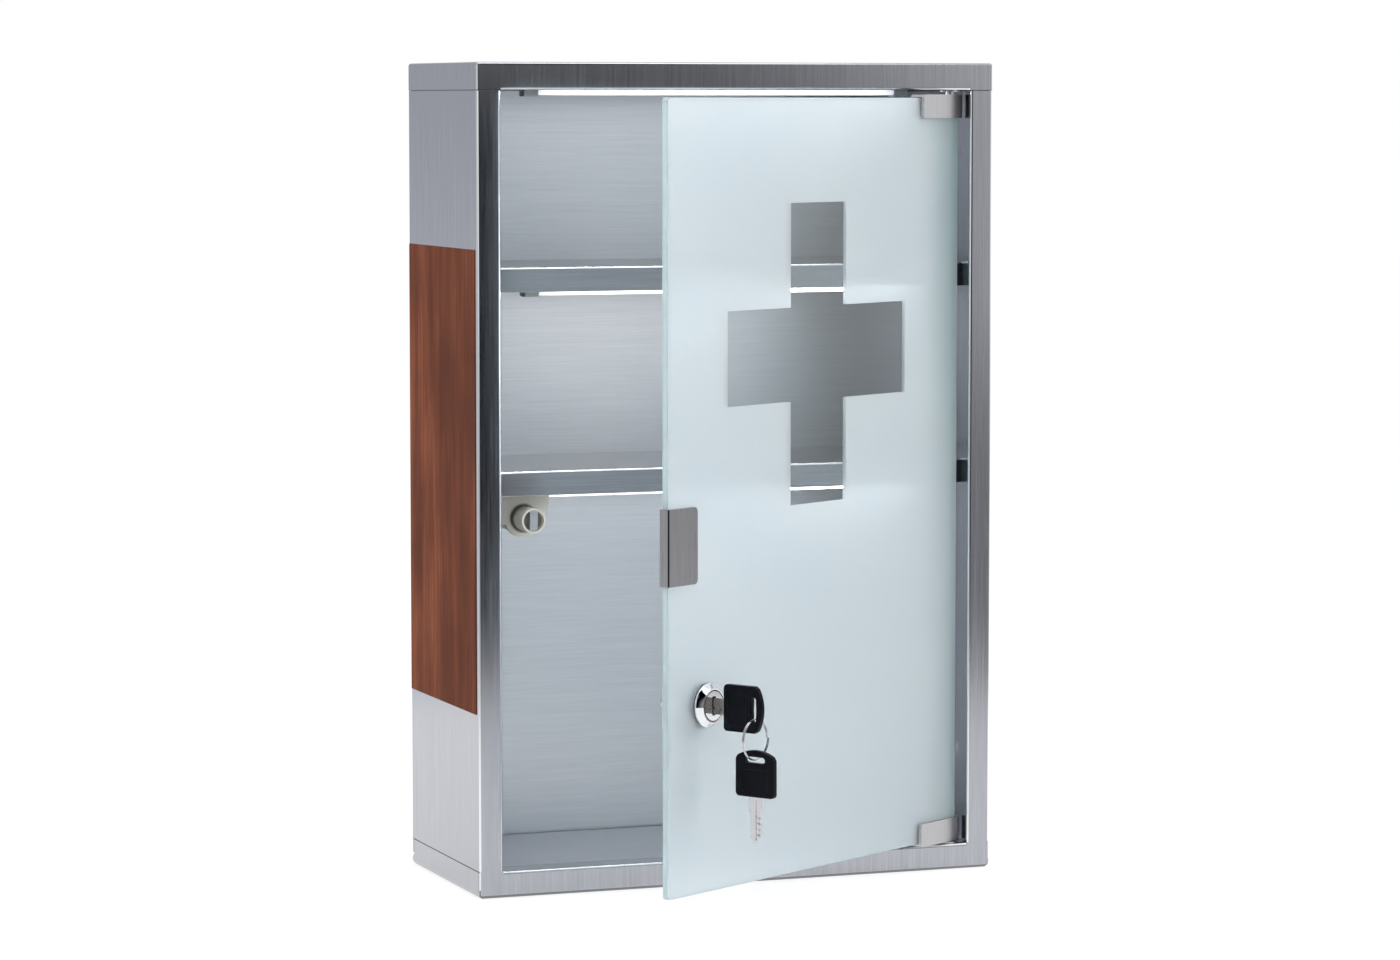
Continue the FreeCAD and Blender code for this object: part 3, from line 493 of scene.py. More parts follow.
@dataclass(frozen=True)
class Moulding(Finish):
    """Moulded plastic or rubber: a fine spark texture, slight clouding and a rubbed sheen."""

    colour: Colour = (0.75, 0.73, 0.61)
    roughness: float = 0.42
    texture: float = 1800.0
    relief: float = 0.06
    mottle: float = 0.06
    gloss: float = 0.5
    clouds: float = 60.0
    cloud_dulling: float = 0.12
    spark_dulling: float = 0.10
    relief_height: float = 0.0001
    dark_tint: Colour = (0.060, 0.042, 0.028)

    def dark_tint_share(self, bench: Bench) -> Value:
        """Share of the dark tint: none."""
        return 0.0

    def build(self, bench: Bench) -> None:
        """Adds the finish's nodes.

        Args:
            bench: Empty node tree of the material.
        """
        spark = bench.noise(self.texture)
        clouds = bench.noise(self.clouds, detail=3.0)
        colour = bench.mottled(clouds.ease(0.3, 0.7), self.colour, self.mottle)
        # Dark tint from a subclass: on the latch, a dark brown ring and painted shade in the pocket.
        colour = bench.tint(self.dark_tint_share(bench), colour, self.dark_tint)
        rough = self.roughness + (clouds - 0.5) * self.cloud_dulling + (spark - 0.5) * self.spark_dulling
        normal = bench.bump(spark, self.relief, self.relief_height)
        inputs = {"Base Color": colour, "Roughness": rough, "Normal": normal, "Specular IOR Level": self.gloss}
        bench.surface(bench.principled(inputs))


@dataclass(frozen=True)
class LatchPlastic(Moulding):
    """Cream plastic with a dark brown ring where the plunger runs in, and painted brown shade down in its pocket.

    Both lie round the plunger's axis; a pair of depths is where the darkening starts and where it is full.
    """

    axis: Vector = (-0.1151, -0.0957, -0.0219)
    run: Pair = (0.0086, 0.0070)
    ring_depths: Pair = (-0.0065, -0.0010)
    ring_share: float = 0.85
    pocket: float = 0.0056
    pocket_depth: Pair = (-0.0178, -0.0148)
    pocket_shade_share: float = 0.75

    def dark_tint_share(self, bench: Bench) -> Wire:
        """Share of the dark tint: a ring round the run-in, and painted shade deeper than the pocket's mouth.

        Args:
            bench: Node tree of the material.

        Returns:
            The share.
        """
        away = bench.along(self.axis, RIGHT).hypot(bench.along(self.axis, UPWARDS))
        deep = bench.along(self.axis, REARWARDS)
        ring = away.ease(*self.run) * deep.ease(*self.ring_depths)
        # Painted shade: darker deeper inside the plunger's pocket.
        sunk = (away < self.pocket) * deep.ease(*self.pocket_depth)
        return ring * self.ring_share | sunk * self.pocket_shade_share


@dataclass(frozen=True)
class WoodFoil(Finish):
    """Red-brown wood-grain foil: fine upright pores and threads over broad darker and lighter figure."""

    light: Colour = (0.335, 0.113, 0.060)
    middle: Colour = (0.258, 0.084, 0.045)
    dark: Colour = (0.130, 0.044, 0.027)
    figure: float = 62.0
    figure_share: float = 0.62
    drift: float = 14.0
    threads: float = 360.0
    thread_share: float = 0.50
    pores: float = 900.0
    pore_share: float = 0.45
    roughness: float = 0.50
    pore_dulling: float = 0.20
    relief: float = 0.06
    relief_height: float = 0.0001
    gloss: float = 0.008

    def build(self, bench: Bench) -> None:
        """Adds the finish's nodes.

        Args:
            bench: Empty node tree of the material.
        """
        figure = bench.noise(self.figure, Grain.FIGURE, 4.0, 0.55)
        drift = bench.noise(self.drift, detail=3.0)
        pores = bench.noise(self.pores, Grain.UP, 3.0, 0.6)
        threads = bench.noise(self.threads, Grain.UP, 3.0)
        tone = figure * self.figure_share + drift * (1.0 - self.figure_share)
        body = bench.tint(tone.ease(0.34, 0.66), self.dark, self.middle)
        body = bench.tint(tone.ease(0.50, 0.74), body, self.light)
        body = bench.tint(threads.ease(0.47, 0.66) * self.thread_share, body, self.dark)
        body = bench.tint(pores.ease(0.55, 0.72) * self.pore_share, body, shade(self.dark, 0.8))
        rough = self.roughness + (pores - 0.5) * self.pore_dulling
        normal = bench.bump(pores, self.relief, self.relief_height)
        inputs = {"Base Color": body, "Roughness": rough, "Normal": normal, "Specular IOR Level": self.gloss}
        bench.surface(bench.principled(inputs))


@dataclass(frozen=True)
class EtchedGlass(Finish):
    """Clear glass with etched faces, a clear cross left in the etching, and polished green-blue edges.

    The cross has a centre along and up the leaf. The etching carries painted shade by the pivot, over a run along the
    leaf and more so between two heights: its share is the first of a pair, plus the second of it at the top.
    """

    centre: Pair = (0.1258, 0.0702)
    arm: float = 0.0803
    half_bar: float = 0.025
    etched: Colour = (0.875, 0.955, 1.0)
    etched_spread: float = 0.015
    etched_roughness: float = 0.52
    etched_clearness: float = 0.66
    etched_grain: float = 1500.0
    etched_relief: float = 0.03
    relief_height: float = 0.0001
    clouds: float = 12.0
    cloud_dulling: float = 0.05
    # Painted shade near the hinge edge: its colour, its run along the leaf, its heights and its shares.
    hinge_shade: Colour = (0.52, 0.66, 0.68)
    hinge_shade_run: Pair = (0.030, -0.004)
    hinge_shade_heights: Pair = (-0.05, 0.16)
    hinge_shade_share: Pair = (0.42, 0.45)
    clear: Colour = (0.93, 0.975, 0.975)
    clear_roughness: float = 0.01
    smears: float = 30.0
    smear_dulling: float = 0.03
    edge: Colour = (0.78, 0.94, 0.94)
    edge_polish: float = 0.36
    edge_slack: float = 0.0002
    refraction: float = 1.5

    def build(self, bench: Bench) -> None:
        """Adds the finish's nodes.

        Args:
            bench: Empty node tree of the material.
        """
        pivot = (LEAF.pivot[0] * MM, LEAF.pivot[1] * MM, 0.0)
        along, up = bench.along(pivot, LEAF.along), bench.along(pivot, UPWARDS)
        bars = [
            along.near(self.centre[0], across) * up.near(self.centre[1], high)
            for across, high in ((self.half_bar, self.arm), (self.arm, self.half_bar))
        ]
        rim = abs(bench.along(pivot, LEAF.out)) < LEAF.half_glass * MM - self.edge_slack
        clouds = bench.noise(self.clouds, detail=3.0)
        frost = bench.mottled(clouds.ease(0.3, 0.7), self.etched, self.etched_spread)
        # Painted shade on the etching near the hinge edge, stronger towards the top.
        least, more = self.hinge_shade_share
        darker = along.ease(*self.hinge_shade_run) * (least + up.ease(*self.hinge_shade_heights) * more)
        frost = bench.tint(darker, frost, self.hinge_shade)
        etched = bench.principled({
            "Base Color": bench.tint(rim, frost, self.edge),
            "Roughness": self.etched_roughness + (clouds - 0.5) * self.cloud_dulling - rim * self.edge_polish,
            "Normal": bench.bump(bench.noise(self.etched_grain), self.etched_relief, self.relief_height),
            "IOR": self.refraction,
            "Transmission Weight": self.etched_clearness,
        })
        smears = bench.noise(self.smears, detail=4.0)
        clear = bench.principled({
            "Base Color": (*self.clear, 1.0),
            "Roughness": self.clear_roughness + smears.ease(0.5, 0.8) * self.smear_dulling,
            "IOR": self.refraction,
            "Transmission Weight": 1.0,
        })
        cross = (bars[0] | bars[1]) * (1.0 - rim)
        bench.surface(bench.wire("ShaderNodeMixShader", None, {0: cross, 1: etched, 2: clear}))


@dataclass(frozen=True)
class OpalLens(Finish):
    """Opal strip of a light bar, lit from within, dimmer towards its ends over the length of a fade."""

    half_length: float = 0.1045
    fade: float = 0.016
    strength: float = 1.5
    roughness: float = 0.30
    ribs: float = 700.0
    rib_dulling: float = 0.2
    opal: Colour = (0.86, 0.87, 0.88)
    lit: Colour = (1.0, 1.0, 1.0)
    dim: Colour = (0.35, 0.37, 0.40)

    def build(self, bench: Bench) -> None:
        """Adds the finish's nodes.

        Args:
            bench: Empty node tree of the material.
        """
        ends = abs(bench.along(ORIGIN, RIGHT)).ease(self.half_length - self.fade, self.half_length)
        ribs = bench.noise(self.ribs, Grain.ACROSS, 1.0)
        bench.surface(bench.principled({
            "Base Color": (*self.opal, 1.0),
            "Roughness": self.roughness + (ribs - 0.5) * self.rib_dulling,
            "Emission Color": bench.tint(ends, self.lit, self.dim),
            "Emission Strength": self.strength,
        }))


STEEL = BrushedMetal("steel_brushed_upright", "brushed_steel")
STEEL_ACROSS = BrushedMetal("steel_brushed_across", "brushed_steel", (0.31, 0.322, 0.347), Grain.ACROSS)
STEEL_INNER = BrushedMetal(
    "steel_brushed_inner", "brushed_steel", (0.665, 0.675, 0.708), Grain.ACROSS, roughness=0.40, contrast=0.07,
)
STEEL_SATIN = BrushedMetal(
    "steel_satin", "satin_steel", (0.54, 0.54, 0.55), roughness=0.33, lines=2200.0, bend_painted_light_share=0.0,
)
# Push plate: its bends carry a dark painted tone, a painted shade.
STEEL_PLATE = BrushedMetal(
    "steel_satin_plate", "satin_steel", (0.475, 0.475, 0.50), roughness=0.30, lines=2200.0,
    bend_painted_light=(0.02, 0.02, 0.022), bend_painted_light_share=0.9, level_ways=(LEAF.along, LEAF.out),
)
STEEL_BRIGHT = PolishedMetal("steel_bright", "bright_steel", (0.60, 0.60, 0.62), 0.28, 0.06, 0.02)
CHROME = PolishedMetal("chrome", "chrome", (0.80, 0.81, 0.83), 0.05, 0.03, 0.005)
NICKEL = PolishedMetal("nickel", "nickel", (0.60, 0.60, 0.63), 0.20, 0.06, 0.02)
# Darker copy of the nickel for key one's blade: painted shade where its neck sits between the bezel and the head.
NICKEL_SHADED = PolishedMetal("nickel_painted_shade", "nickel", (0.36, 0.345, 0.32), 0.26, 0.06, 0.02)
MAGNET = PolishedMetal("magnet", "magnet", (0.56, 0.59, 0.61), 0.38, 0.08, 0.03)
ALUMINIUM = BrushedMetal("aluminium", "aluminium", (0.66, 0.67, 0.69), Grain.ACROSS, roughness=0.36, lines=1700.0)
PLUG = PlugFace(
    "chrome_plug", "chrome", (0.74, 0.75, 0.78), 0.10, 0.03, 0.005,
    middle=tuple(LEAF.place(LEAF.lock[0], 0.0, LEAF.lock[1]) * MM), across=LEAF.along,
)
FOIL = WoodFoil("wood_foil", "wood_grain")
GLASS = EtchedGlass("etched_glass", "frosted_glass")
LENS = OpalLens("opal_lens", "light_lens")
CREAM = LatchPlastic("cream_plastic_moulded", "cream_plastic", (0.86, 0.84, 0.76))
BLACK = Moulding("black_plastic_moulded", "black_plastic", (0.004, 0.0052, 0.0092), 0.36, 1500.0, 0.06, 0.25, 0.08)
GREY = Moulding("grey_plastic_moulded", "grey_plastic", (0.46, 0.48, 0.50), 0.45)
RUBBER = Moulding("black_rubber_soft", "black_rubber", (0.018, 0.018, 0.019), 0.62, 900.0, 0.12, 0.2)
PAD = Moulding("soft_pad_foam", "soft_pad", (0.20, 0.21, 0.22), 0.75, 700.0, 0.20, 0.2)


def unit(vectors: Array) -> Array:
    """Vectors along the last axis, made one long."""
    return vectors / np.linalg.norm(vectors, axis=-1, keepdims=True)


def rectangle(u: Pair, v: Pair) -> list[Pair]:
    """Corners of a rectangle between two places each way, anticlockwise."""
    return [(u[0], v[0]), (u[1], v[0]), (u[1], v[1]), (u[0], v[1])]


def rounded(points: list[Pair], radii: float | tuple[float, ...], steps: int = 7) -> Array:
    """Rounds a polygon's corners: each becomes an arc that touches both of its sides.

    The arc's centre lies on the corner's bisector, radius over the sine of half the corner's angle away,
    and the arc turns evenly from one tangent point to the other.

    Args:
        points: Corners in order.
        radii: One radius for all corners, or one each.
        steps: Points on each arc.

    Returns:
        The outline, with steps points for each corner.
    """
    corner = np.asarray(points, float)
    radius = np.broadcast_to(np.asarray(radii, float), len(corner))[:, None]
    back = unit(np.roll(corner, 1, 0) - corner)
    ahead = unit(np.roll(corner, -1, 0) - corner)
    half = np.arccos(np.clip((back * ahead).sum(1, keepdims=True), -1.0, 1.0)) / 2.0
    centre = corner + unit(back + ahead) * radius / np.sin(half)
    first = (corner + back * radius / np.tan(half) - centre)[:, None]
    last = (corner + ahead * radius / np.tan(half) - centre)[:, None]
    turn = (np.pi - 2.0 * half)[:, None]
    share = np.linspace(0.0, 1.0, steps)[None, :, None]
    arc = (np.sin((1.0 - share) * turn) * first + np.sin(share * turn) * last) / np.sin(turn)
    return (centre[:, None] + arc).reshape(-1, 2)


def inset(outline: Array, distance: Array | float) -> Array:
    """Moves an anticlockwise outline inwards.

    Each point moves along the sum of its two sides' inward normals, over one plus their dot product.

    Args:
        outline: Points in order, without repeats.
        distance: How far, one number or a column of them.

    Returns:
        The moved outline.
    """
    side = unit(np.roll(outline, -1, 0) - outline)
    normal = np.stack([-side[:, 1], side[:, 0]], -1)
    last = np.roll(normal, 1, 0)
    return outline + distance * (last + normal) / (1.0 + (last * normal).sum(1, keepdims=True))


def divided(outline: Array, steps: int) -> Array:
    """Adds evenly spaced points along each side of a closed outline."""
    share = np.linspace(0.0, 1.0, steps, endpoint=False)[None, :, None]
    return (outline[:, None] * (1.0 - share) + np.roll(outline, -1, 0)[:, None] * share).reshape(-1, 2)


def quarter(steps: int = 5) -> tuple[Array, Array]:
    """Sine and one minus cosine of a quarter turn, for rounding a rim."""
    angle = np.linspace(0.0, np.pi / 2.0, steps)
    return np.sin(angle), 1.0 - np.cos(angle)


def eased_step(value: Array, start: float, width: float) -> Array:
    """Smooth step from nought at start to one a width later."""
    share = np.clip((value - start) / width, 0.0, 1.0)
    return share * share * (3.0 - 2.0 * share)


def smoothed(mesh: bpy.types.Mesh, sharp: float) -> bpy.types.Mesh:
    """Shades a mesh smooth, but for edges over the sharp angle in degrees.

    Args:
        mesh: The mesh.
        sharp: Angle over which edges stay crisp.

    Returns:
        The same mesh.
    """
    mesh.shade_smooth()
    mesh.set_sharp_from_angle(angle=math.radians(sharp))
    return mesh


class Surface:
    """Points in millimetres and faces of one piece, gathered from grids of two parameters."""

    # Points nearer than this many metres are made one.
    JOIN = 2e-7

    def __init__(self) -> None:
        """Starts with nothing."""
        self.points: list[Array] = []
        self.faces: list[list[int]] = []
        self.count = 0

    def grid(self, points: Array, close_rows: bool = False, close_columns: bool = True) -> "Surface":
        """Adds a grid of points with a quad between each four neighbours.

        Args:
            points: Rows by columns by three.
            close_rows: Whether the last row joins the first.
            close_columns: Whether the last column joins the first.

        Returns:
            This surface.
        """
        rows, columns = points.shape[:2]
        index = np.arange(rows * columns).reshape(rows, columns) + self.count
        index = np.concatenate([index, index[:1]], 0) if close_rows else index
        index = np.concatenate([index, index[:, :1]], 1) if close_columns else index
        quads = np.stack([index[:-1, :-1], index[:-1, 1:], index[1:, 1:], index[1:, :-1]], -1)
        self.faces += quads.reshape(-1, 4).tolist()
        self.points.append(points.reshape(-1, 3))
        self.count += rows * columns
        return self

    def capped(self, points: Array) -> "Surface":
        """Adds a stack of closed rings, with a flat face over the first and the last ring.

        Args:
            points: Rings by points by three.

        Returns:
            This surface.
        """
        start = self.count
        self.grid(points)
        rows, columns = points.shape[:2]
        self.faces.append(list(range(start, start + columns)))
        self.faces.append(list(range(start + (rows - 1) * columns, start + rows * columns)))
        return self

    def plate(self, outline: Array, low: float, high: float, rim: float, place: Placing) -> "Surface":
        """Adds a plate with rounded rims.

        The outline is drawn in by the rim's radius at both faces and stands full between them, and the
        rings between follow a quarter circle.

        Args:
            outline: Anticlockwise outline.
            low: Height of one face.
            high: Height of the other face.
            rim: Radius of the rims.
            place: Turns the outline's two places and the height into points.

        Returns:
            This surface.
        """
        rise, draw = quarter()
        depth = np.concatenate([draw[::-1], draw]) * rim
        height = np.concatenate([low + (1.0 - rise[::-1]) * rim, high - (1.0 - rise) * rim])
        rings = np.stack([inset(outline, d) for d in depth])
        return self.capped(place(rings[..., 0], rings[..., 1], height[:, None]))

    def turned(self, profile: Array, place: Placing, segments: int = 64) -> "Surface":
        """Adds a closed profile turned round an axis.

        A profile point at height h and radius r becomes the circle r cosine, r sine at height h.

        Args:
            profile: Heights and radii in order, closed on itself.
            place: Turns two places across the axis and the height into points.
            segments: Points on each circle.

        Returns:
            This surface.
        """
        angle = np.linspace(0.0, 2.0 * np.pi, segments, endpoint=False)
        height, radius = profile[:, :1], profile[:, 1:]
        circles = place(radius * np.cos(angle), radius * np.sin(angle), height + 0.0 * angle)
        return self.grid(circles, close_rows=True)

    def tube(self, path: Array, radius: float, sides: int = 12) -> "Surface":
        """Adds a round wire along a path, with rounded ends.

        Each ring stands square to the path; within one radius of an end it shrinks as a sphere does.

        Args:
            path: Points along the wire.
            radius: Of the wire.
            sides: Points on each ring.

        Returns:
            This surface.
        """
        way = unit(np.gradient(path, axis=0))
        bend = np.gradient(way, axis=0)
        across = unit(bend - (bend * way).sum(1, keepdims=True) * way)
        third = np.cross(way, across)
        run = np.concatenate([[0.0], np.cumsum(np.linalg.norm(np.diff(path, axis=0), axis=1))])
        near = np.clip(np.minimum(run, run[-1] - run) / radius, 0.03, 1.0)
        size = radius * np.sqrt(1.0 - (1.0 - near) ** 2)
        angle = np.linspace(0.0, 2.0 * np.pi, sides, endpoint=False)[None, :, None]
        ring = np.cos(angle) * across[:, None] + np.sin(angle) * third[:, None]
        return self.capped(path[:, None] + ring * size[:, None, None])

    def mesh(self, name: str, sharp: float) -> bpy.types.Mesh:
        """Makes the mesh in metres, with its doubles merged and its faces outwards.

        Args:
            name: Of the mesh.
            sharp: Angle in degrees over which edges stay crisp.

        Returns:
            The mesh.
        """
        made = bpy.data.meshes.new(name)
        made.from_pydata(np.concatenate(self.points) * MM, [], self.faces)
        shell = bmesh.new()
        shell.from_mesh(made)
        bmesh.ops.remove_doubles(shell, verts=shell.verts, dist=self.JOIN)
        bmesh.ops.recalc_face_normals(shell, faces=shell.faces)
        shell.to_mesh(made)
        shell.free()
        return smoothed(made, sharp)


def merged(node: str, name: str, cell: float = 1e-6) -> bpy.types.Mesh:
    """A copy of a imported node's mesh with its loose triangles joined.

    Corners that fall in the same cell become one point, and triangles that close up are left out.

    Args:
        node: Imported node.
        name: Name of the copy.
        cell: Size of the cells in metres.

    Returns:
        The joined mesh.
    """
    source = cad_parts[node].data
    source.calc_loop_triangles()
    points = np.empty(len(source.vertices) * 3, np.float32)
    source.vertices.foreach_get("co", points)
    corners = np.empty(len(source.loop_triangles) * 3, np.int32)
    source.loop_triangles.foreach_get("vertices", corners)
    points = points.reshape(-1, 3).astype(float)
    cells = np.round(points / cell).astype(int)
    _, first, joined = np.unique(cells, axis=0, return_index=True, return_inverse=True)
    faces = joined.reshape(-1)[corners].reshape(-1, 3)
    whole = (faces != np.roll(faces, 1, 1)).all(1)
    made = bpy.data.meshes.new(name)
    made.from_pydata(points[first], [], faces[whole].tolist())
    return smoothed(made, CRISP)


@dataclass
class Assembly:
    """A group of pieces of the cabinet, and what they share."""

    body: str

    def piece(
        self, mesh: bpy.types.Mesh, finish: Finish, nodes: tuple[str, ...], body: str = "",
    ) -> bpy.types.Object:
        """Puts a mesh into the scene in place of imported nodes.

        Args:
            mesh: The piece's mesh, already in place.
            finish: Its finish.
            nodes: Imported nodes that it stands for.
            body: Body that it rides on, if not the assembly's own.

        Returns:
            The piece.
        """
        made = bpy.data.objects.new(mesh.name, mesh)
        bpy.context.scene.collection.objects.link(made)
        mesh.materials.append(material_of(finish))
        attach(made, body or self.body)
        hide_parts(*nodes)
        LOG.info("%s stands for %s on %s", made.name, ", ".join(nodes), body or self.body)
        return made

    @staticmethod
    def flattened(made: bpy.types.Object) -> bpy.types.Object:
        """Shades a piece's flats flat, so that only its bends and rims look round.

        Args:
            made: The piece.

        Returns:
            The same piece.
        """
        flats = made.modifiers.new("flat_faces", "WEIGHTED_NORMAL")
        flats.keep_sharp = True
        return made

    def shaped(
        self, surface: Surface, node: str, finish: Finish, body: str = "", sharp: float = CRISP,
    ) -> bpy.types.Object:
        """Puts a worked-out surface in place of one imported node, its flats shaded flat up to their rounded rims."""
        return self.flattened(self.piece(surface.mesh(node + "_shaped", sharp), finish, (node,), body))

    def eased(self, node: str, finish: Finish, width: float, body: str = "", steps: int = 2) -> bpy.types.Object:
        """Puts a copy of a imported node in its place, with its crisp edges rounded off.

        Args:
            node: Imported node.
            finish: Its finish.
            width: Width of the rounding, in millimetres.
            body: Body that it rides on, if not the assembly's own.
            steps: Faces across the rounding.

        Returns:
            The piece.
        """
        made = self.piece(merged(node, node + "_eased"), finish, (node,), body)
        bevel = made.modifiers.new("eased_edges", "BEVEL")
        bevel.width = width * MM
        bevel.segments = steps
        bevel.limit_method = "ANGLE"
        bevel.angle_limit = math.radians(CRISP)
        bevel.harden_normals = True
        bevel.use_clamp_overlap = True
        return self.flattened(made)

    def dress(self, node: str, finish: Finish) -> None:
        """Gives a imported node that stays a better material.

        Args:
            node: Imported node.
            finish: Its finish.
        """
        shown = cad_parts[node]
        shown.data.materials.clear()
        shown.data.materials.append(material_of(finish))
        LOG.info("%s keeps its solid", node)


@dataclass
class Carcass(Assembly):
    """Folded case: caps, sides, back, floor and the wood-grain panels."""

    body: str = "cabinet"
    fold_ease: float = 0.16
    half_width: float = 150.0
    panel: float = 0.4
    panel_y: Pair = (-120.2, -0.8)
    panel_z: Pair = (-125.0, 125.0)
    panel_corner: float = 0.6
    panel_rim: float = 0.12

    def build(self) -> None:
        """Makes the case's pieces."""
        for node in ("top_cap", "bottom_cap", "left_side_panel", "right_side_panel"):
            self.eased(node, STEEL, self.fold_ease)
        for node in ("back_panel", "floor_panel"):
            self.eased(node, STEEL_INNER, self.fold_ease)
        for side, node in ((-1.0, "left_wood_panel"), (1.0, "right_wood_panel")):
            self.shaped(self.foil(side), node, FOIL)

    def foil(self, side: float) -> Surface:
        """A thin upright plate on one side of the case.

        Args:
            side: Minus one for the left side, one for the right.

        Returns:
            The plate.
        """
        def place(u: Array, v: Array, h: Array) -> Array:
            """Outline in y and z, height outwards from the side."""
            return np.stack(np.broadcast_arrays(side * (self.half_width + h), u, v), -1)

        outline = rounded(rectangle(self.panel_y, self.panel_z), self.panel_corner)
        return Surface().plate(outline, 0.0, self.panel, self.panel_rim, place)


@dataclass
class Shelving(Assembly):
    """Two folded shelves and the three light bars under the top rail and the shelves."""

    body: str = "cabinet"
    fold_ease: float = 0.16
    channel_ease: float = 0.12
    cap_ease: float = 0.30
    half_length: float = 104.5
    lens_y: Pair = (-90.7, -83.7)
    lens_round: float = 1.4
    lens_rim: float = 0.15
    lens_height: float = 5.4
    lens_lows: dict[str, float] = field(default_factory=lambda: {"top": 207.4, "upper": 98.8, "lower": -11.3})

    def build(self) -> None:
        """Makes the shelves and the light bars."""
        for node in ("upper_shelf", "lower_shelf"):
            self.eased(node, STEEL_ACROSS, self.fold_ease)
        for level, low in self.lens_lows.items():
            self.eased(f"{level}_light_channel", ALUMINIUM, self.channel_ease)
            self.eased(f"{level}_light_caps", GREY, self.cap_ease)
            self.shaped(self.lens(low), f"{level}_light_lens", LENS)

    def lens(self, low: float) -> Surface:
        """A strip whose section has rounded lower corners, carried along x.

        Args:
            low: Height of its lower face.

        Returns:
            The strip.
        """
        def place(u: Array, v: Array, h: Array) -> Array:
            """Section in y and z, height along x."""
            return np.stack(np.broadcast_arrays(h, u, v), -1)

        radii = (self.lens_round, self.lens_round, self.lens_rim, self.lens_rim)
        outline = rounded(rectangle(self.lens_y, (low, low + self.lens_height)), radii)
        return Surface().plate(outline, -self.half_length, self.half_length, self.lens_rim, place)


@dataclass
class GlassDoor(Assembly):
    """Door leaf with its hinge clips, pins, bushes and push plate."""

    body: str = "door"
    glass_s: Pair = (-5.5, 256.5)
    glass_z: Pair = (-207.4, 206.0)
    glass_crisp: float = 14.0
    corner: float = 2.0
    corner_points: int = 9
    side_points: int = 58
    arris: float = 0.5
    hole: float = 9.2
    clip_ease: float = 0.45
    screw_ease: float = 0.12
    plate_ease: float = 0.22
    pin_radius: float = 2.5
    pin_rounds: tuple[float, ...] = (0.01, 0.01, 0.4, 0.4)
    bush_bore: float = 2.55
    bush_radius: float = 4.05
    bush_flange: float = 5.55
    bush_flange_height: float = 0.8
    bush_rounds: tuple[float, ...] = (0.25, 0.25, 0.05, 0.05, 0.2, 0.2)

    def build(self) -> None:
        """Makes the door's pieces."""
        self.shaped(self.pane(), "door_glass", GLASS, sharp=self.glass_crisp)
        for level in ("upper", "lower"):
            self.eased(f"{level}_hinge_clip", STEEL_SATIN, self.clip_ease, steps=3)
            self.dress(f"{level}_clip_pads", PAD)
            self.shaped(self.pin(level), f"{level}_pivot_pin", STEEL_BRIGHT)
            self.shaped(self.bush(level), f"{level}_bush", STEEL_BRIGHT, "cabinet")
        self.eased("clip_screws", STEEL_BRIGHT, self.screw_ease)
        self.eased("push_plate", STEEL_PLATE, self.plate_ease, steps=3)
        self.dress("push_plate_tape", PAD)

    def pane(self) -> Surface:
        """The leaf as one closed ring of outlines round the lock's hole.

        Outlines run from the hole's wall over the front face, round the outer edge and back over the rear
        face. Every outline has a point on each ray from the hole's centre through the outer outline's points,
        and both edges have their arrises rounded by a quarter circle.

        Returns:
            The leaf.
        """
        corners = rounded(rectangle(self.glass_s, self.glass_z), self.corner, self.corner_points)
        arcs = corners.reshape(4, self.corner_points, 2)
        share = np.linspace(0.0, 1.0, self.side_points + 2)[None, 1:-1, None]
        sides = arcs[:, -1:] * (1.0 - share) + np.roll(arcs[:, :1], -1, 0) * share
        outer = np.concatenate([arcs, sides], 1).reshape(-1, 2)
        rise, draw = quarter(4)
        edge = np.stack([inset(outer, d * self.arris) for d in draw])
        ray = unit(outer - np.array(LEAF.lock))
        bore = np.array(LEAF.lock) + ray * (self.hole + draw[:, None, None] * self.arris)
        height = LEAF.half_glass - self.arris + rise * self.arris
        rings = np.concatenate([bore, edge[::-1], edge, bore[::-1]])
        levels = np.concatenate([height, height[::-1], -height, -height[::-1]])
        return Surface().grid(LEAF.place(rings[..., 0], levels[:, None], rings[..., 1]), close_rows=True)

    def pin(self, level: str) -> Surface:
        """A pin turned on the pivot, with rounded ends."""
        ends = rectangle(tuple(v.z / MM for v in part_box(f"{level}_pivot_pin")), (0.0, self.pin_radius))
        return Surface().turned(rounded(ends, self.pin_rounds), self.on_pivot)

    def bush(self, level: str) -> Surface:
        """A flanged bush turned on the pivot: bore, flange and body in one profile.

        Args:
            level: Whether it is the upper or the lower one, whose flange looks into the case.

        Returns:
            The bush.
        """
        low, high = (v.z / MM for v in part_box(f"{level}_bush"))
        inner, outer = (low, high) if level == "upper" else (high, low)
        step = inner + math.copysign(self.bush_flange_height, outer - inner)
        ends = [(inner, self.bush_bore), (inner, self.bush_flange), (step, self.bush_flange)]
        ends += [(step, self.bush_radius), (outer, self.bush_radius), (outer, self.bush_bore)]
        return Surface().turned(rounded(ends, self.bush_rounds), self.on_pivot)

    @staticmethod
    def on_pivot(u: Array, v: Array, h: Array) -> Array:
        """Places across the pivot's axis, height up."""
        return np.stack([LEAF.pivot[0] + u, LEAF.pivot[1] + v, h], -1)


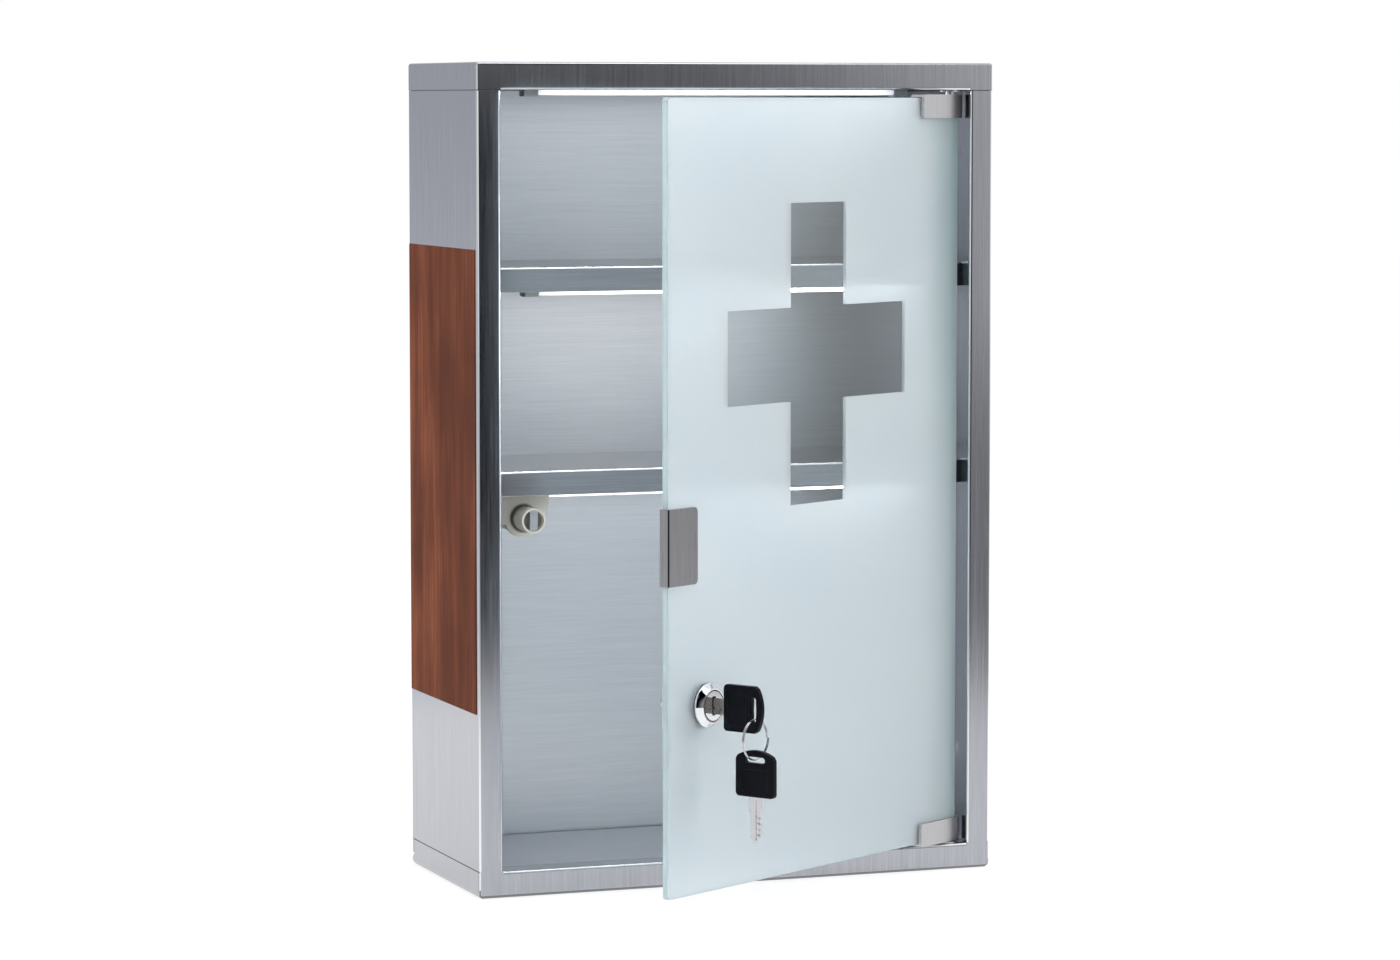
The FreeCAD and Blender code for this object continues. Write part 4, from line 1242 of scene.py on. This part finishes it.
@dataclass
class CamLock(Assembly):
    """Lock in the glass: bezel and threaded barrel, gasket, washer, nut, and the turning core with its cam.

    A curve is a list of steps round a rounded corner: how far along the axis and how far across it. The cone's
    start is how far it stands off the rim along and across the axis, its power how hollow it is and its share
    how much of the way to the face it takes.
    """

    body: str = "door"
    core: str = "lock_core"
    seat: float = 2.8
    rim: float = 1.0
    rim_radius: float = 11.75
    rim_curve: tuple[Pair, ...] = ((0.0, 0.3), (0.09, 0.09), (0.3, 0.0))
    cone_start: Pair = (0.15, 0.10)
    cone_end: float = 0.30
    cone_power: float = 0.85
    cone_share: float = 0.93
    face: float = 7.0
    face_radius: float = 9.4
    nose_round: float = 0.35
    lip_curve: tuple[Pair, ...] = ((0.0, 0.25), (0.12, 0.06), (0.3, 0.0))
    head_bore: float = 8.35
    head_floor: float = 4.15
    plug_bore: float = 6.05
    mouth: float = 0.2
    barrel_radius: float = 9.0
    barrel_end: float = -20.0
    thread_pitch: float = 1.0
    thread_depth: float = 0.32
    thread_start: Pair = (0.5, 0.7)
    thread_gap: float = 0.2
    shell_crisp: float = 50.0
    gasket_radius: float = 11.45
    gasket_rounds: tuple[float, ...] = (0.02, 0.02, 0.3, 0.3)
    washer: float = 0.8
    nut_ease: float = 0.35
    turning_ease: float = 0.20
    screw_ease: float = 0.25

    def build(self) -> None:
        """Makes the lock's pieces."""
        front, rear = LEAF.half_glass, -LEAF.half_glass
        self.shaped(self.shell(), "lock_body", CHROME, sharp=self.shell_crisp)
        self.shaped(self.ring(front, self.seat), "lock_gasket", RUBBER)
        self.shaped(self.ring(rear - self.washer, rear), "lock_washer", RUBBER)
        self.eased("lock_nut", STEEL_BRIGHT, self.nut_ease, steps=3)
        self.eased("lock_plug", PLUG, self.turning_ease, self.core, 3)
        self.eased("lock_cam", STEEL_BRIGHT, self.turning_ease, self.core)
        self.eased("cam_screw", STEEL_BRIGHT, self.screw_ease, self.core, 3)

    def place(self, u: Array, v: Array, h: Array) -> Array:
        """Places across the lock's axis, height out from the glass."""
        return LEAF.place(LEAF.lock[0] + u, h, LEAF.lock[1] + v)

    def shell(self) -> Surface:
        """Bezel and barrel as one turned profile.

        From the rim the bezel rises on a slightly hollow cone to its rounded face, drops into the seat of the
        plug's head, goes through the barrel, and comes back along a thread whose depth follows a sine.

        Returns:
            The bezel and barrel.
        """
        top = self.seat + self.rim
        skirt = [(self.seat, self.barrel_radius)]
        skirt += [(self.seat + along, self.rim_radius - across) for along, across in self.rim_curve]
        skirt += [(top - self.cone_start[0], self.rim_radius)]
        share = np.linspace(0.0, 1.0, 12)
        rise = top + self.cone_start[0] + (self.face - top - self.cone_start[0] - self.cone_end) * share
        drop = (self.rim_radius - self.face_radius) * share ** self.cone_power * self.cone_share
        cone = np.stack([rise, self.rim_radius - self.cone_start[1] - drop], -1)
        brow = [tuple(cone[-1]), (self.face, self.face_radius - self.cone_start[1]), (self.face, self.head_bore)]
        nose = rounded(brow, (0.01, self.nose_round, 0.01), 6)[6:12]
        inside = [(self.face - along, self.head_bore + across) for along, across in self.lip_curve]
        inside += [(self.head_floor, self.head_bore), (self.head_floor, self.plug_bore)]
        inside += [(self.barrel_end + self.mouth, self.plug_bore), (self.barrel_end, self.plug_bore + self.mouth)]
        start = [(self.barrel_end, self.barrel_radius - self.thread_start[1])]
        screw = np.linspace(self.barrel_end + self.thread_start[0], -LEAF.half_glass - self.thread_gap, 120)
        wave = 0.5 - 0.5 * np.cos(2.0 * np.pi * screw / self.thread_pitch)
        thread = np.stack([screw, self.barrel_radius - self.thread_depth * wave], -1)
        return Surface().turned(np.concatenate([skirt, cone, nose, inside, start, thread]), self.place, 96)

    def ring(self, low: float, high: float) -> Surface:
        """A flat rubber ring on the barrel with rounded corners."""
        ends = rectangle((low, high), (self.barrel_radius, self.gasket_radius))
        return Surface().turned(rounded(ends, self.gasket_rounds), self.place)


@dataclass
class KeySet(Assembly):
    """Two keys on a split ring: one in the lock, one hanging below it.

    Along a key its head starts at nought and its blade runs to the minus side; widths are from its middle line.
    The panel sunk into a head has a start, an end and half a width, and the groove milled into a blade a middle,
    half a width and a depth.
    """

    body: str = "key_one"
    origin: float = 14.0
    slot_reach: float = 19.4
    slot_sag: float = 4.9
    slot_half: Pair = (1.6, 6.5)
    half_width: float = 12.25
    side: float = 19.8
    shoulder: Pair = (21.6, 11.0)
    arch_apex: float = 27.66
    arch_radius: float = 22.5
    head_rounds: tuple[float, ...] = (2.2, 1.0, 0.04)
    head_rim: float = 0.6
    head_crisp: float = 60.0
    half_thick: float = 1.7
    panel: tuple[float, float, float] = (3.5, 14.5, 8.0)
    panel_depth: float = 0.55
    panel_slope: float = 0.5
    blade_half: float = 1.0
    blade_rim: float = 0.25
    blade_crisp: float = 30.0
    bit_half: float = 3.0
    bit_length: float = 17.0
    bit_blunt: float = 0.05
    neck_half: float = 4.2
    neck_length: float = 7.0
    neck_step: float = 0.02
    tongue: float = 8.0
    cut_pitch: float = 3.0
    cut_depths: tuple[float, ...] = (1.3, 0.65, 1.3, 0.65)
    groove: tuple[float, float, float] = (-0.95, 0.45, 0.50)
    groove_slope: float = 0.2
    groove_start: Pair = (1.0, 0.6)
    ring_radius: float = 10.5
    ring_wire: float = 0.36
    ring_pitch: float = 1.45
    wire_pitch: float = 0.74
    ring_turns: float = 2.0

    def build(self) -> None:
        """Makes the keys and their ring."""
        for name, place, metal in (("key_one", self.in_lock, NICKEL_SHADED), ("key_two", self.hanging, NICKEL)):
            self.shaped(self.head(place), f"{name}_head", BLACK, name, self.head_crisp)
            self.shaped(self.blade(place), f"{name}_blade", metal, name, self.blade_crisp)
        self.shaped(self.split_ring(), "key_ring", NICKEL, "ring")

    def in_lock(self, a: Array, w: Array, x: Array) -> Array:
        """Key one: a along the key out of the lock, w up, x across its thickness."""
        return LEAF.place(LEAF.lock[0] - x, self.origin + a, LEAF.lock[1] + w)

    def hanging(self, a: Array, w: Array, x: Array) -> Array:
        """Key two: its slot hangs on the ring's foot, its blade points down.

        Args:
            a: Places along the key, upwards.
            w: Places across its width, towards the glass.
            x: Places across its thickness.

        Returns:
            The points.
        """
        foot = LEAF.lock[1] - self.slot_sag - 2.0 * self.ring_radius
        out = self.origin + self.slot_reach + self.ring_pitch / 2.0
        return LEAF.place(LEAF.lock[0] - x, out - w, foot + a - self.slot_reach)

    def head(self, place: Placing) -> Surface:
        """Plastic head as one closed ring of outlines from the slot's wall over both faces.

        On each ray from the slot's centre a point goes from the slot to the outer outline. Its thickness is
        the head's half thickness, less a quarter-round near both outlines, less the sunk panel's smooth step.

        Args:
            place: Turns places along, across and through the key into points.

        Returns:
            The head.
        """
        h, (a, w) = self.half_width, self.shoulder
        corners = [(0.0, -h), (self.side, -h), (a, -w), (self.arch_apex, 0.0), (a, w), (self.side, h), (0.0, h)]
        outer = rounded(corners, (*self.head_rounds, self.arch_radius, *self.head_rounds[::-1]), 24)
        outer = outer - np.array([self.slot_reach, 0.0])
        sa, sw = self.slot_half
        slot = rounded(rectangle((-sa, sa), (-sw, sw)), sa - 0.01, 24)
        turn = np.linspace(-np.pi, np.pi, 260, endpoint=False)
        far, near = self.reach(turn, outer), self.reach(turn, slot)
        share = np.concatenate([[0.0, 0.012, 0.03, 0.06], np.linspace(0.09, 0.93, 40), [0.955, 0.975, 0.99, 1.0]])
        radius = near + (far - near) * share[:, None]
        u, v = radius * np.cos(turn) + self.slot_reach, radius * np.sin(turn)
        edge = np.clip(1.0 - np.minimum(radius - near, far - radius) / self.head_rim, 0.0, 1.0)
        worn = self.head_rim * (1.0 - np.sqrt(1.0 - edge ** 2 * 0.999))
        low, high, half = self.panel
        sunk = eased_step(u, low, self.panel_slope) * eased_step(-u, -high, self.panel_slope)
        sunk = sunk * eased_step(-np.abs(v), -half, self.panel_slope)
        thick = self.half_thick - worn - self.panel_depth * sunk
        sheets = [np.concatenate([front, rear[::-1]]) for front, rear in ((u, u), (v, v), (thick, -thick))]
        return Surface().grid(place(*sheets), close_rows=True)

    @staticmethod
    def reach(turn: Array, outline: Array) -> Array:
        """Distance from the middle to an outline in each direction, read between its points by angle.

        Args:
            turn: Directions in radians.
            outline: Closed outline round the middle.

        Returns:
            One distance for each direction.
        """
        line = divided(outline, 16)
        angle = np.arctan2(line[:, 1], line[:, 0])
        return np.interp(turn, angle, np.hypot(*line.T), period=2.0 * np.pi)

    def blade(self, place: Placing) -> Surface:
        """Blade as sections along the key: tongue, shoulder and cut bit.

        At each place along the key the section goes up one face and down the other; its top and bottom follow
        the bit's outline with V cuts below and a pointed tip, and a milled groove runs along both faces.

        Args:
            place: Turns places along, across and through the key into points.

        Returns:
            The blade.
        """
        tip = -self.neck_length - self.bit_length
        breaks = [-self.neck_length - self.neck_step, -self.neck_length, 0.0, self.neck_step]
        along = np.unique(np.concatenate([np.linspace(tip + self.bit_blunt, self.tongue, 260), breaks]))
        neck = (along >= -self.neck_length) & (along <= 0.0)
        top = np.where(neck, self.neck_half, np.minimum(self.bit_half, along - tip))
        first = tip + self.bit_half + self.cut_pitch / 2.0
        places = first + self.cut_pitch * np.arange(len(self.cut_depths))
        notch = 1.0 - np.abs(along[:, None] - places) / (self.cut_pitch / 4.0)
        depth = (np.clip(notch, 0.0, 1.0) * np.array(self.cut_depths)).max(1)
        bottom = np.where(neck, -self.neck_half, np.maximum(depth - self.bit_half, tip - along))
        share = np.concatenate([[0.0, 0.01, 0.03], np.linspace(0.06, 0.94, 30), [0.97, 0.99, 1.0]])
        w = bottom[:, None] + (top - bottom)[:, None] * share
        gap = np.minimum(w - bottom[:, None], top[:, None] - w)
        edge = np.clip(1.0 - gap / self.blade_rim, 0.0, 1.0)
        centre, half, sink = self.groove
        milled = eased_step(half - np.abs(w - centre), 0.0, self.groove_slope)
        milled = milled * eased_step(-along, *self.groove_start)[:, None] * sink
        x = self.blade_half - self.blade_rim * edge ** 2 - milled
        a = np.broadcast_to(along[:, None], w.shape)
        sheets = [np.concatenate([front, rear[:, ::-1]], 1) for front, rear in ((a, a), (w, w), (x, -x))]
        return Surface().capped(place(*sheets))

    def split_ring(self) -> Surface:
        """Ring wire: a helix of two close turns about an axis square to the keys' faces.

        Returns:
            The wire.
        """
        turn = np.linspace(0.0, self.ring_turns, 190)
        angle = 2.0 * np.pi * turn
        out = self.origin + self.slot_reach + self.wire_pitch * (turn - self.ring_turns / 2.0 + 0.25)
        up = LEAF.lock[1] - self.slot_sag - self.ring_radius + self.ring_radius * np.sin(angle)
        path = LEAF.place(LEAF.lock[0] - self.ring_radius * np.cos(angle), out, up)
        return Surface().tube(path, self.ring_wire)


@dataclass
class PushLatch(Assembly):
    """Sprung magnetic latch under the lower shelf, with its axis at a place in x and z."""

    body: str = "cabinet"
    plunger: str = "plunger"
    axis: Pair = (-115.1, -21.9)
    plastic_ease: float = 0.35
    metal_ease: float = 0.25
    coil_radius: float = 3.7
    wire: float = 0.5
    turns: float = 7.0
    travel: float = 4.0

    def build(self) -> None:
        """Makes the latch's pieces."""
        self.eased("latch_housing", CREAM, self.plastic_ease, steps=3)
        self.eased("latch_screws", STEEL_BRIGHT, self.metal_ease, steps=3)
        self.eased("latch_plunger", CREAM, self.plastic_ease, self.plunger, 3)
        self.eased("latch_magnet", MAGNET, self.metal_ease, self.plunger)
        self.spring()

    def spring(self) -> None:
        """The coil inside the plunger: a helix along y."""
        low, high = (v.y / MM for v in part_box("latch_spring"))
        turn = np.linspace(0.0, 2.0 * np.pi * self.turns, 210)
        path = np.stack([
            self.axis[0] + self.coil_radius * np.cos(turn),
            np.linspace(low + self.wire, high - self.wire, turn.size),
            self.axis[1] + self.coil_radius * np.sin(turn),
        ], -1)
        made = self.shaped(Surface().tube(path, self.wire, 10), "latch_spring", STEEL_BRIGHT)
        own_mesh(made)


def seen(bench: Bench) -> Wire:
    """One for rays from the camera, in shine and through glass, otherwise nought.

    Args:
        bench: Node tree of a material or a world.

    Returns:
        The mask.
    """
    kinds = ("Camera", "Glossy", "Transmission")
    rays = [bench.wire("ShaderNodeLightPath", output=f"Is {kind} Ray") for kind in kinds]
    return rays[0] | rays[1] | rays[2]


@dataclass(frozen=True)
class StudioFloor(Finish):
    """Pale floor that reads white to the camera and in shine and glass, and keeps a faint shadow."""

    glow: float = 0.76
    seen_grey: float = 0.40
    plain_grey: float = 0.8

    def build(self, bench: Bench) -> None:
        """Adds the finish's nodes.

        Args:
            bench: Empty node tree of the material.
        """
        faint, plain = (
            bench.wire("ShaderNodeBsdfDiffuse", None, {"Color": (grey, grey, grey, 1.0)})
            for grey in (self.seen_grey, self.plain_grey)
        )
        glow = bench.wire("ShaderNodeEmission", None, {"Strength": self.glow})
        white = bench.wire("ShaderNodeAddShader", None, {0: faint, 1: glow})
        bench.surface(bench.wire("ShaderNodeMixShader", None, {0: seen(bench), 1: plain, 2: white}))


@dataclass(frozen=True)
class StudioCard(Finish):
    """Grey card that the metal mirrors, darkened by its direction from the case and by its height.

    Each pair of numbers is where the grey starts and where it is full, in either order: directions in degrees to
    the right of straight ahead, heights in metres. The lift is a paler patch in the dark side.
    """

    sides: Pair = (43.0, 15.0)
    far_sides: Pair = (-48.0, -16.0)
    side_depth: float = 1.0
    levels: Pair = (0.14, -0.06)
    level_depth: float = 0.66
    lift: Pair = (0.185, 0.25)
    lift_end: Pair = (0.52, 0.36)
    lift_sides: Pair = (-10.0, 4.0)
    lift_depth: float = 0.29
    light: Colour = (1.0, 1.0, 1.0)
    dark: Colour = (0.0, 0.0, 0.002)

    def build(self, bench: Bench) -> None:
        """Adds the finish's nodes.

        Args:
            bench: Empty node tree of the material.
        """
        right, ahead = bench.along(CARD_CENTRE, RIGHT), bench.along(CARD_CENTRE, FORWARDS)
        turn = right.math("ARCTAN2", right, ahead) * math.degrees(1.0)
        high = bench.along(ORIGIN, UPWARDS)
        lift = high.ease(*self.lift) * high.ease(*self.lift_end) * turn.ease(*self.lift_sides)
        side = turn.ease(*self.sides) * turn.ease(*self.far_sides) * (self.side_depth - lift * self.lift_depth)
        dark = side | high.ease(*self.levels) * self.level_depth
        grey = bench.tint(dark, self.light, self.dark)
        bench.surface(bench.wire("ShaderNodeEmission", None, {"Color": grey}))


FRONT_CARD = StudioCard("studio_front_card", "")
LEFT_CARD = StudioCard("studio_left_card", "", (-50.0, -82.0), (-120.0, -109.0), 0.55, level_depth=0.0)
REAR_CARD = StudioCard(
    "studio_rear_card", "", side_depth=0.0, levels=(-0.24, 0.28), level_depth=0.40, light=(0.90, 0.92, 0.985),
)


@dataclass
class Studio:
    """Camera at the photograph's place, white surroundings, pale floor, soft lamps, and cards for the metal."""

    eye: Vector = (-0.8829, -2.4234, 0.2046)
    tilt: float = 85.2
    swing: float = -20.5
    lens: float = 116.3
    sensor: float = 36.0
    far: float = 50.0
    fill: float = 0.62
    floor_z: float = -0.225
    floor_half: float = 9.0
    card_radius: float = 0.87
    card_gap: float = 0.001
    card_crisp: float = 60.0
    bar_length: float = 0.205
    bar_lows: dict[str, float] = field(default_factory=lambda: {"top": 0.2070, "upper": 0.0985, "lower": -0.0116})

    def build(self) -> None:
        """Sets the studio up."""
        self.camera()
        self.world()
        self.floor()
        self.card("front_card", (-66.0, 46.0), 1.25, FRONT_CARD)
        self.card("foot_card", (46.0, 112.0), 0.20, FRONT_CARD)
        self.card("left_card", (-109.0, -66.0), 0.60, LEFT_CARD)
        self.card("rear_card", (-179.0, -145.0), 0.60, REAR_CARD)
        self.soft_box("right_box", azimuth=50.0, rise=8.0, away=1.7, size=(0.8, 0.9), level=4.4, shine=False)
        self.soft_box("left_box", azimuth=-127.0, rise=8.0, away=1.5, size=(0.9, 1.3), level=2.0, shine=False)
        self.soft_box("top_box", azimuth=5.0, rise=72.0, away=1.6, size=(1.2, 0.9), level=2.0)
        for level, low in self.bar_lows.items():
            self.strip(f"{level}_strip", (0.0, -0.0872, low), width=0.007, tilt=0.0, level=10.0)
            self.strip(f"{level}_door_strip", (0.0, -0.0912, low + 0.0012), width=0.002, tilt=90.0, level=11.0)
        bpy.context.scene.view_settings.view_transform = "Standard"

    def camera(self) -> None:
        """Adds the camera, with its long lens across the picture's width."""
        data = bpy.data.cameras.new("photo_camera")
        data.lens = self.lens
        data.sensor_fit = "HORIZONTAL"
        data.sensor_width = self.sensor
        data.clip_end = self.far
        made = bpy.data.objects.new("photo_camera", data)
        made.location = self.eye
        made.rotation_euler = (math.radians(self.tilt), 0.0, math.radians(self.swing))
        bpy.context.scene.collection.objects.link(made)
        bpy.context.scene.camera = made

    def world(self) -> None:
        """White where the surroundings are seen, plain soft fill on dull surfaces."""
        world = bpy.data.worlds.new("white_studio")
        bpy.context.scene.world = world
        bench = Bench(world)
        strength = self.fill + seen(bench) * (1.0 - self.fill)
        sky = bench.wire("ShaderNodeBackground", None, {"Color": (1.0, 1.0, 1.0, 1.0), "Strength": strength})
        bench.node("ShaderNodeOutputWorld", None, {"Surface": sky})

    def floor(self) -> None:
        """Adds the floor, one flat square."""
        reach = (-self.floor_half, self.floor_half)
        mesh = bpy.data.meshes.new("studio_floor")
        mesh.from_pydata([(x, y, self.floor_z) for x, y in rectangle(reach, reach)], [], [[0, 1, 2, 3]])
        self.staged(mesh, StudioFloor("studio_floor", ""))

    def card(self, name: str, ends: Pair, high: float, finish: StudioCard) -> None:
        """Adds an upright curved card round the cabinet, seen only in shine.

        An arc about the cards' centre from one direction to another, from the floor up to a height.

        Args:
            name: Of the card.
            ends: Directions of its ends in degrees to the right of straight ahead.
            high: Height of its top edge in metres.
            finish: Its greys.
        """
        turn = np.radians(np.linspace(*ends, 49))
        z = np.linspace(self.floor_z + self.card_gap, high, 13)[:, None]
        x = CARD_CENTRE[0] + self.card_radius * np.sin(turn)
        y = CARD_CENTRE[1] - self.card_radius * np.cos(turn)
        arc = Surface().grid(np.stack(np.broadcast_arrays(x, y, z), -1) / MM, close_columns=False)
        made = self.staged(arc.mesh(name, self.card_crisp), finish)
        made.visible_camera = False
        made.visible_diffuse = False
        made.visible_transmission = False
        made.visible_shadow = False

    @staticmethod
    def staged(mesh: bpy.types.Mesh, finish: Finish) -> bpy.types.Object:
        """Links a stage mesh with its material.

        Args:
            mesh: The mesh, already in place.
            finish: Its finish.

        Returns:
            The stage object.
        """
        made = bpy.data.objects.new(mesh.name, mesh)
        bpy.context.scene.collection.objects.link(made)
        mesh.materials.append(material_of(finish))
        return made

    @staticmethod
    def lamp(name: str, size: Pair, level: float, place: Vector, turn: Vector) -> bpy.types.Object:
        """Adds a rectangular lamp that the camera doesn't see.

        Args:
            name: Of the lamp.
            size: Width and height in metres.
            level: Brightness of its face, where one is white.
            place: Its middle.
            turn: Its angles about x, y and z in radians.

        Returns:
            The lamp.
        """
        data = bpy.data.lights.new(name, "AREA")
        data.shape = "RECTANGLE"
        data.size, data.size_y = size
        data.energy = level * math.pi * size[0] * size[1]
        made = bpy.data.objects.new(name, data)
        made.location = place
        made.rotation_euler = turn
        made.visible_camera = False
        bpy.context.scene.collection.objects.link(made)
        return made

    def soft_box(
        self, name: str, azimuth: float, rise: float, away: float, size: Pair, level: float, shine: bool = True,
    ) -> None:
        """Adds a soft box that faces the cabinet's middle.

        Args:
            name: Of the lamp.
            azimuth: Degrees to the right of straight ahead of the case.
            rise: Degrees above level.
            away: Distance in metres.
            size: Width and height in metres.
            level: Brightness of its face, where one is white.
            shine: Whether it shows in shiny surfaces.
        """
        turn, lift = math.radians(azimuth), math.radians(rise)
        reach = away * math.cos(lift)
        place = (reach * math.sin(turn), -reach * math.cos(turn), away * math.sin(lift))
        made = self.lamp(name, size, level, place, (math.pi / 2.0 - lift, 0.0, turn))
        made.visible_glossy = shine

    def strip(self, name: str, place: Vector, width: float, tilt: float, level: float) -> None:
        """Adds the light that a light bar throws; tilt is degrees from facing down towards facing the door."""
        self.lamp(name, (self.bar_length, width), level, place, (-math.radians(tilt), 0.0, 0.0))


def main() -> None:
    """Builds the cabinet's assemblies and the studio in order."""
    logging.basicConfig(level=logging.INFO, format="%(name)s: %(message)s")
    for assembly in (Carcass(), Shelving(), GlassDoor(), CamLock(), KeySet(), PushLatch()):
        assembly.build()
    Studio().build()


if __name__ == "__main__":
    main()
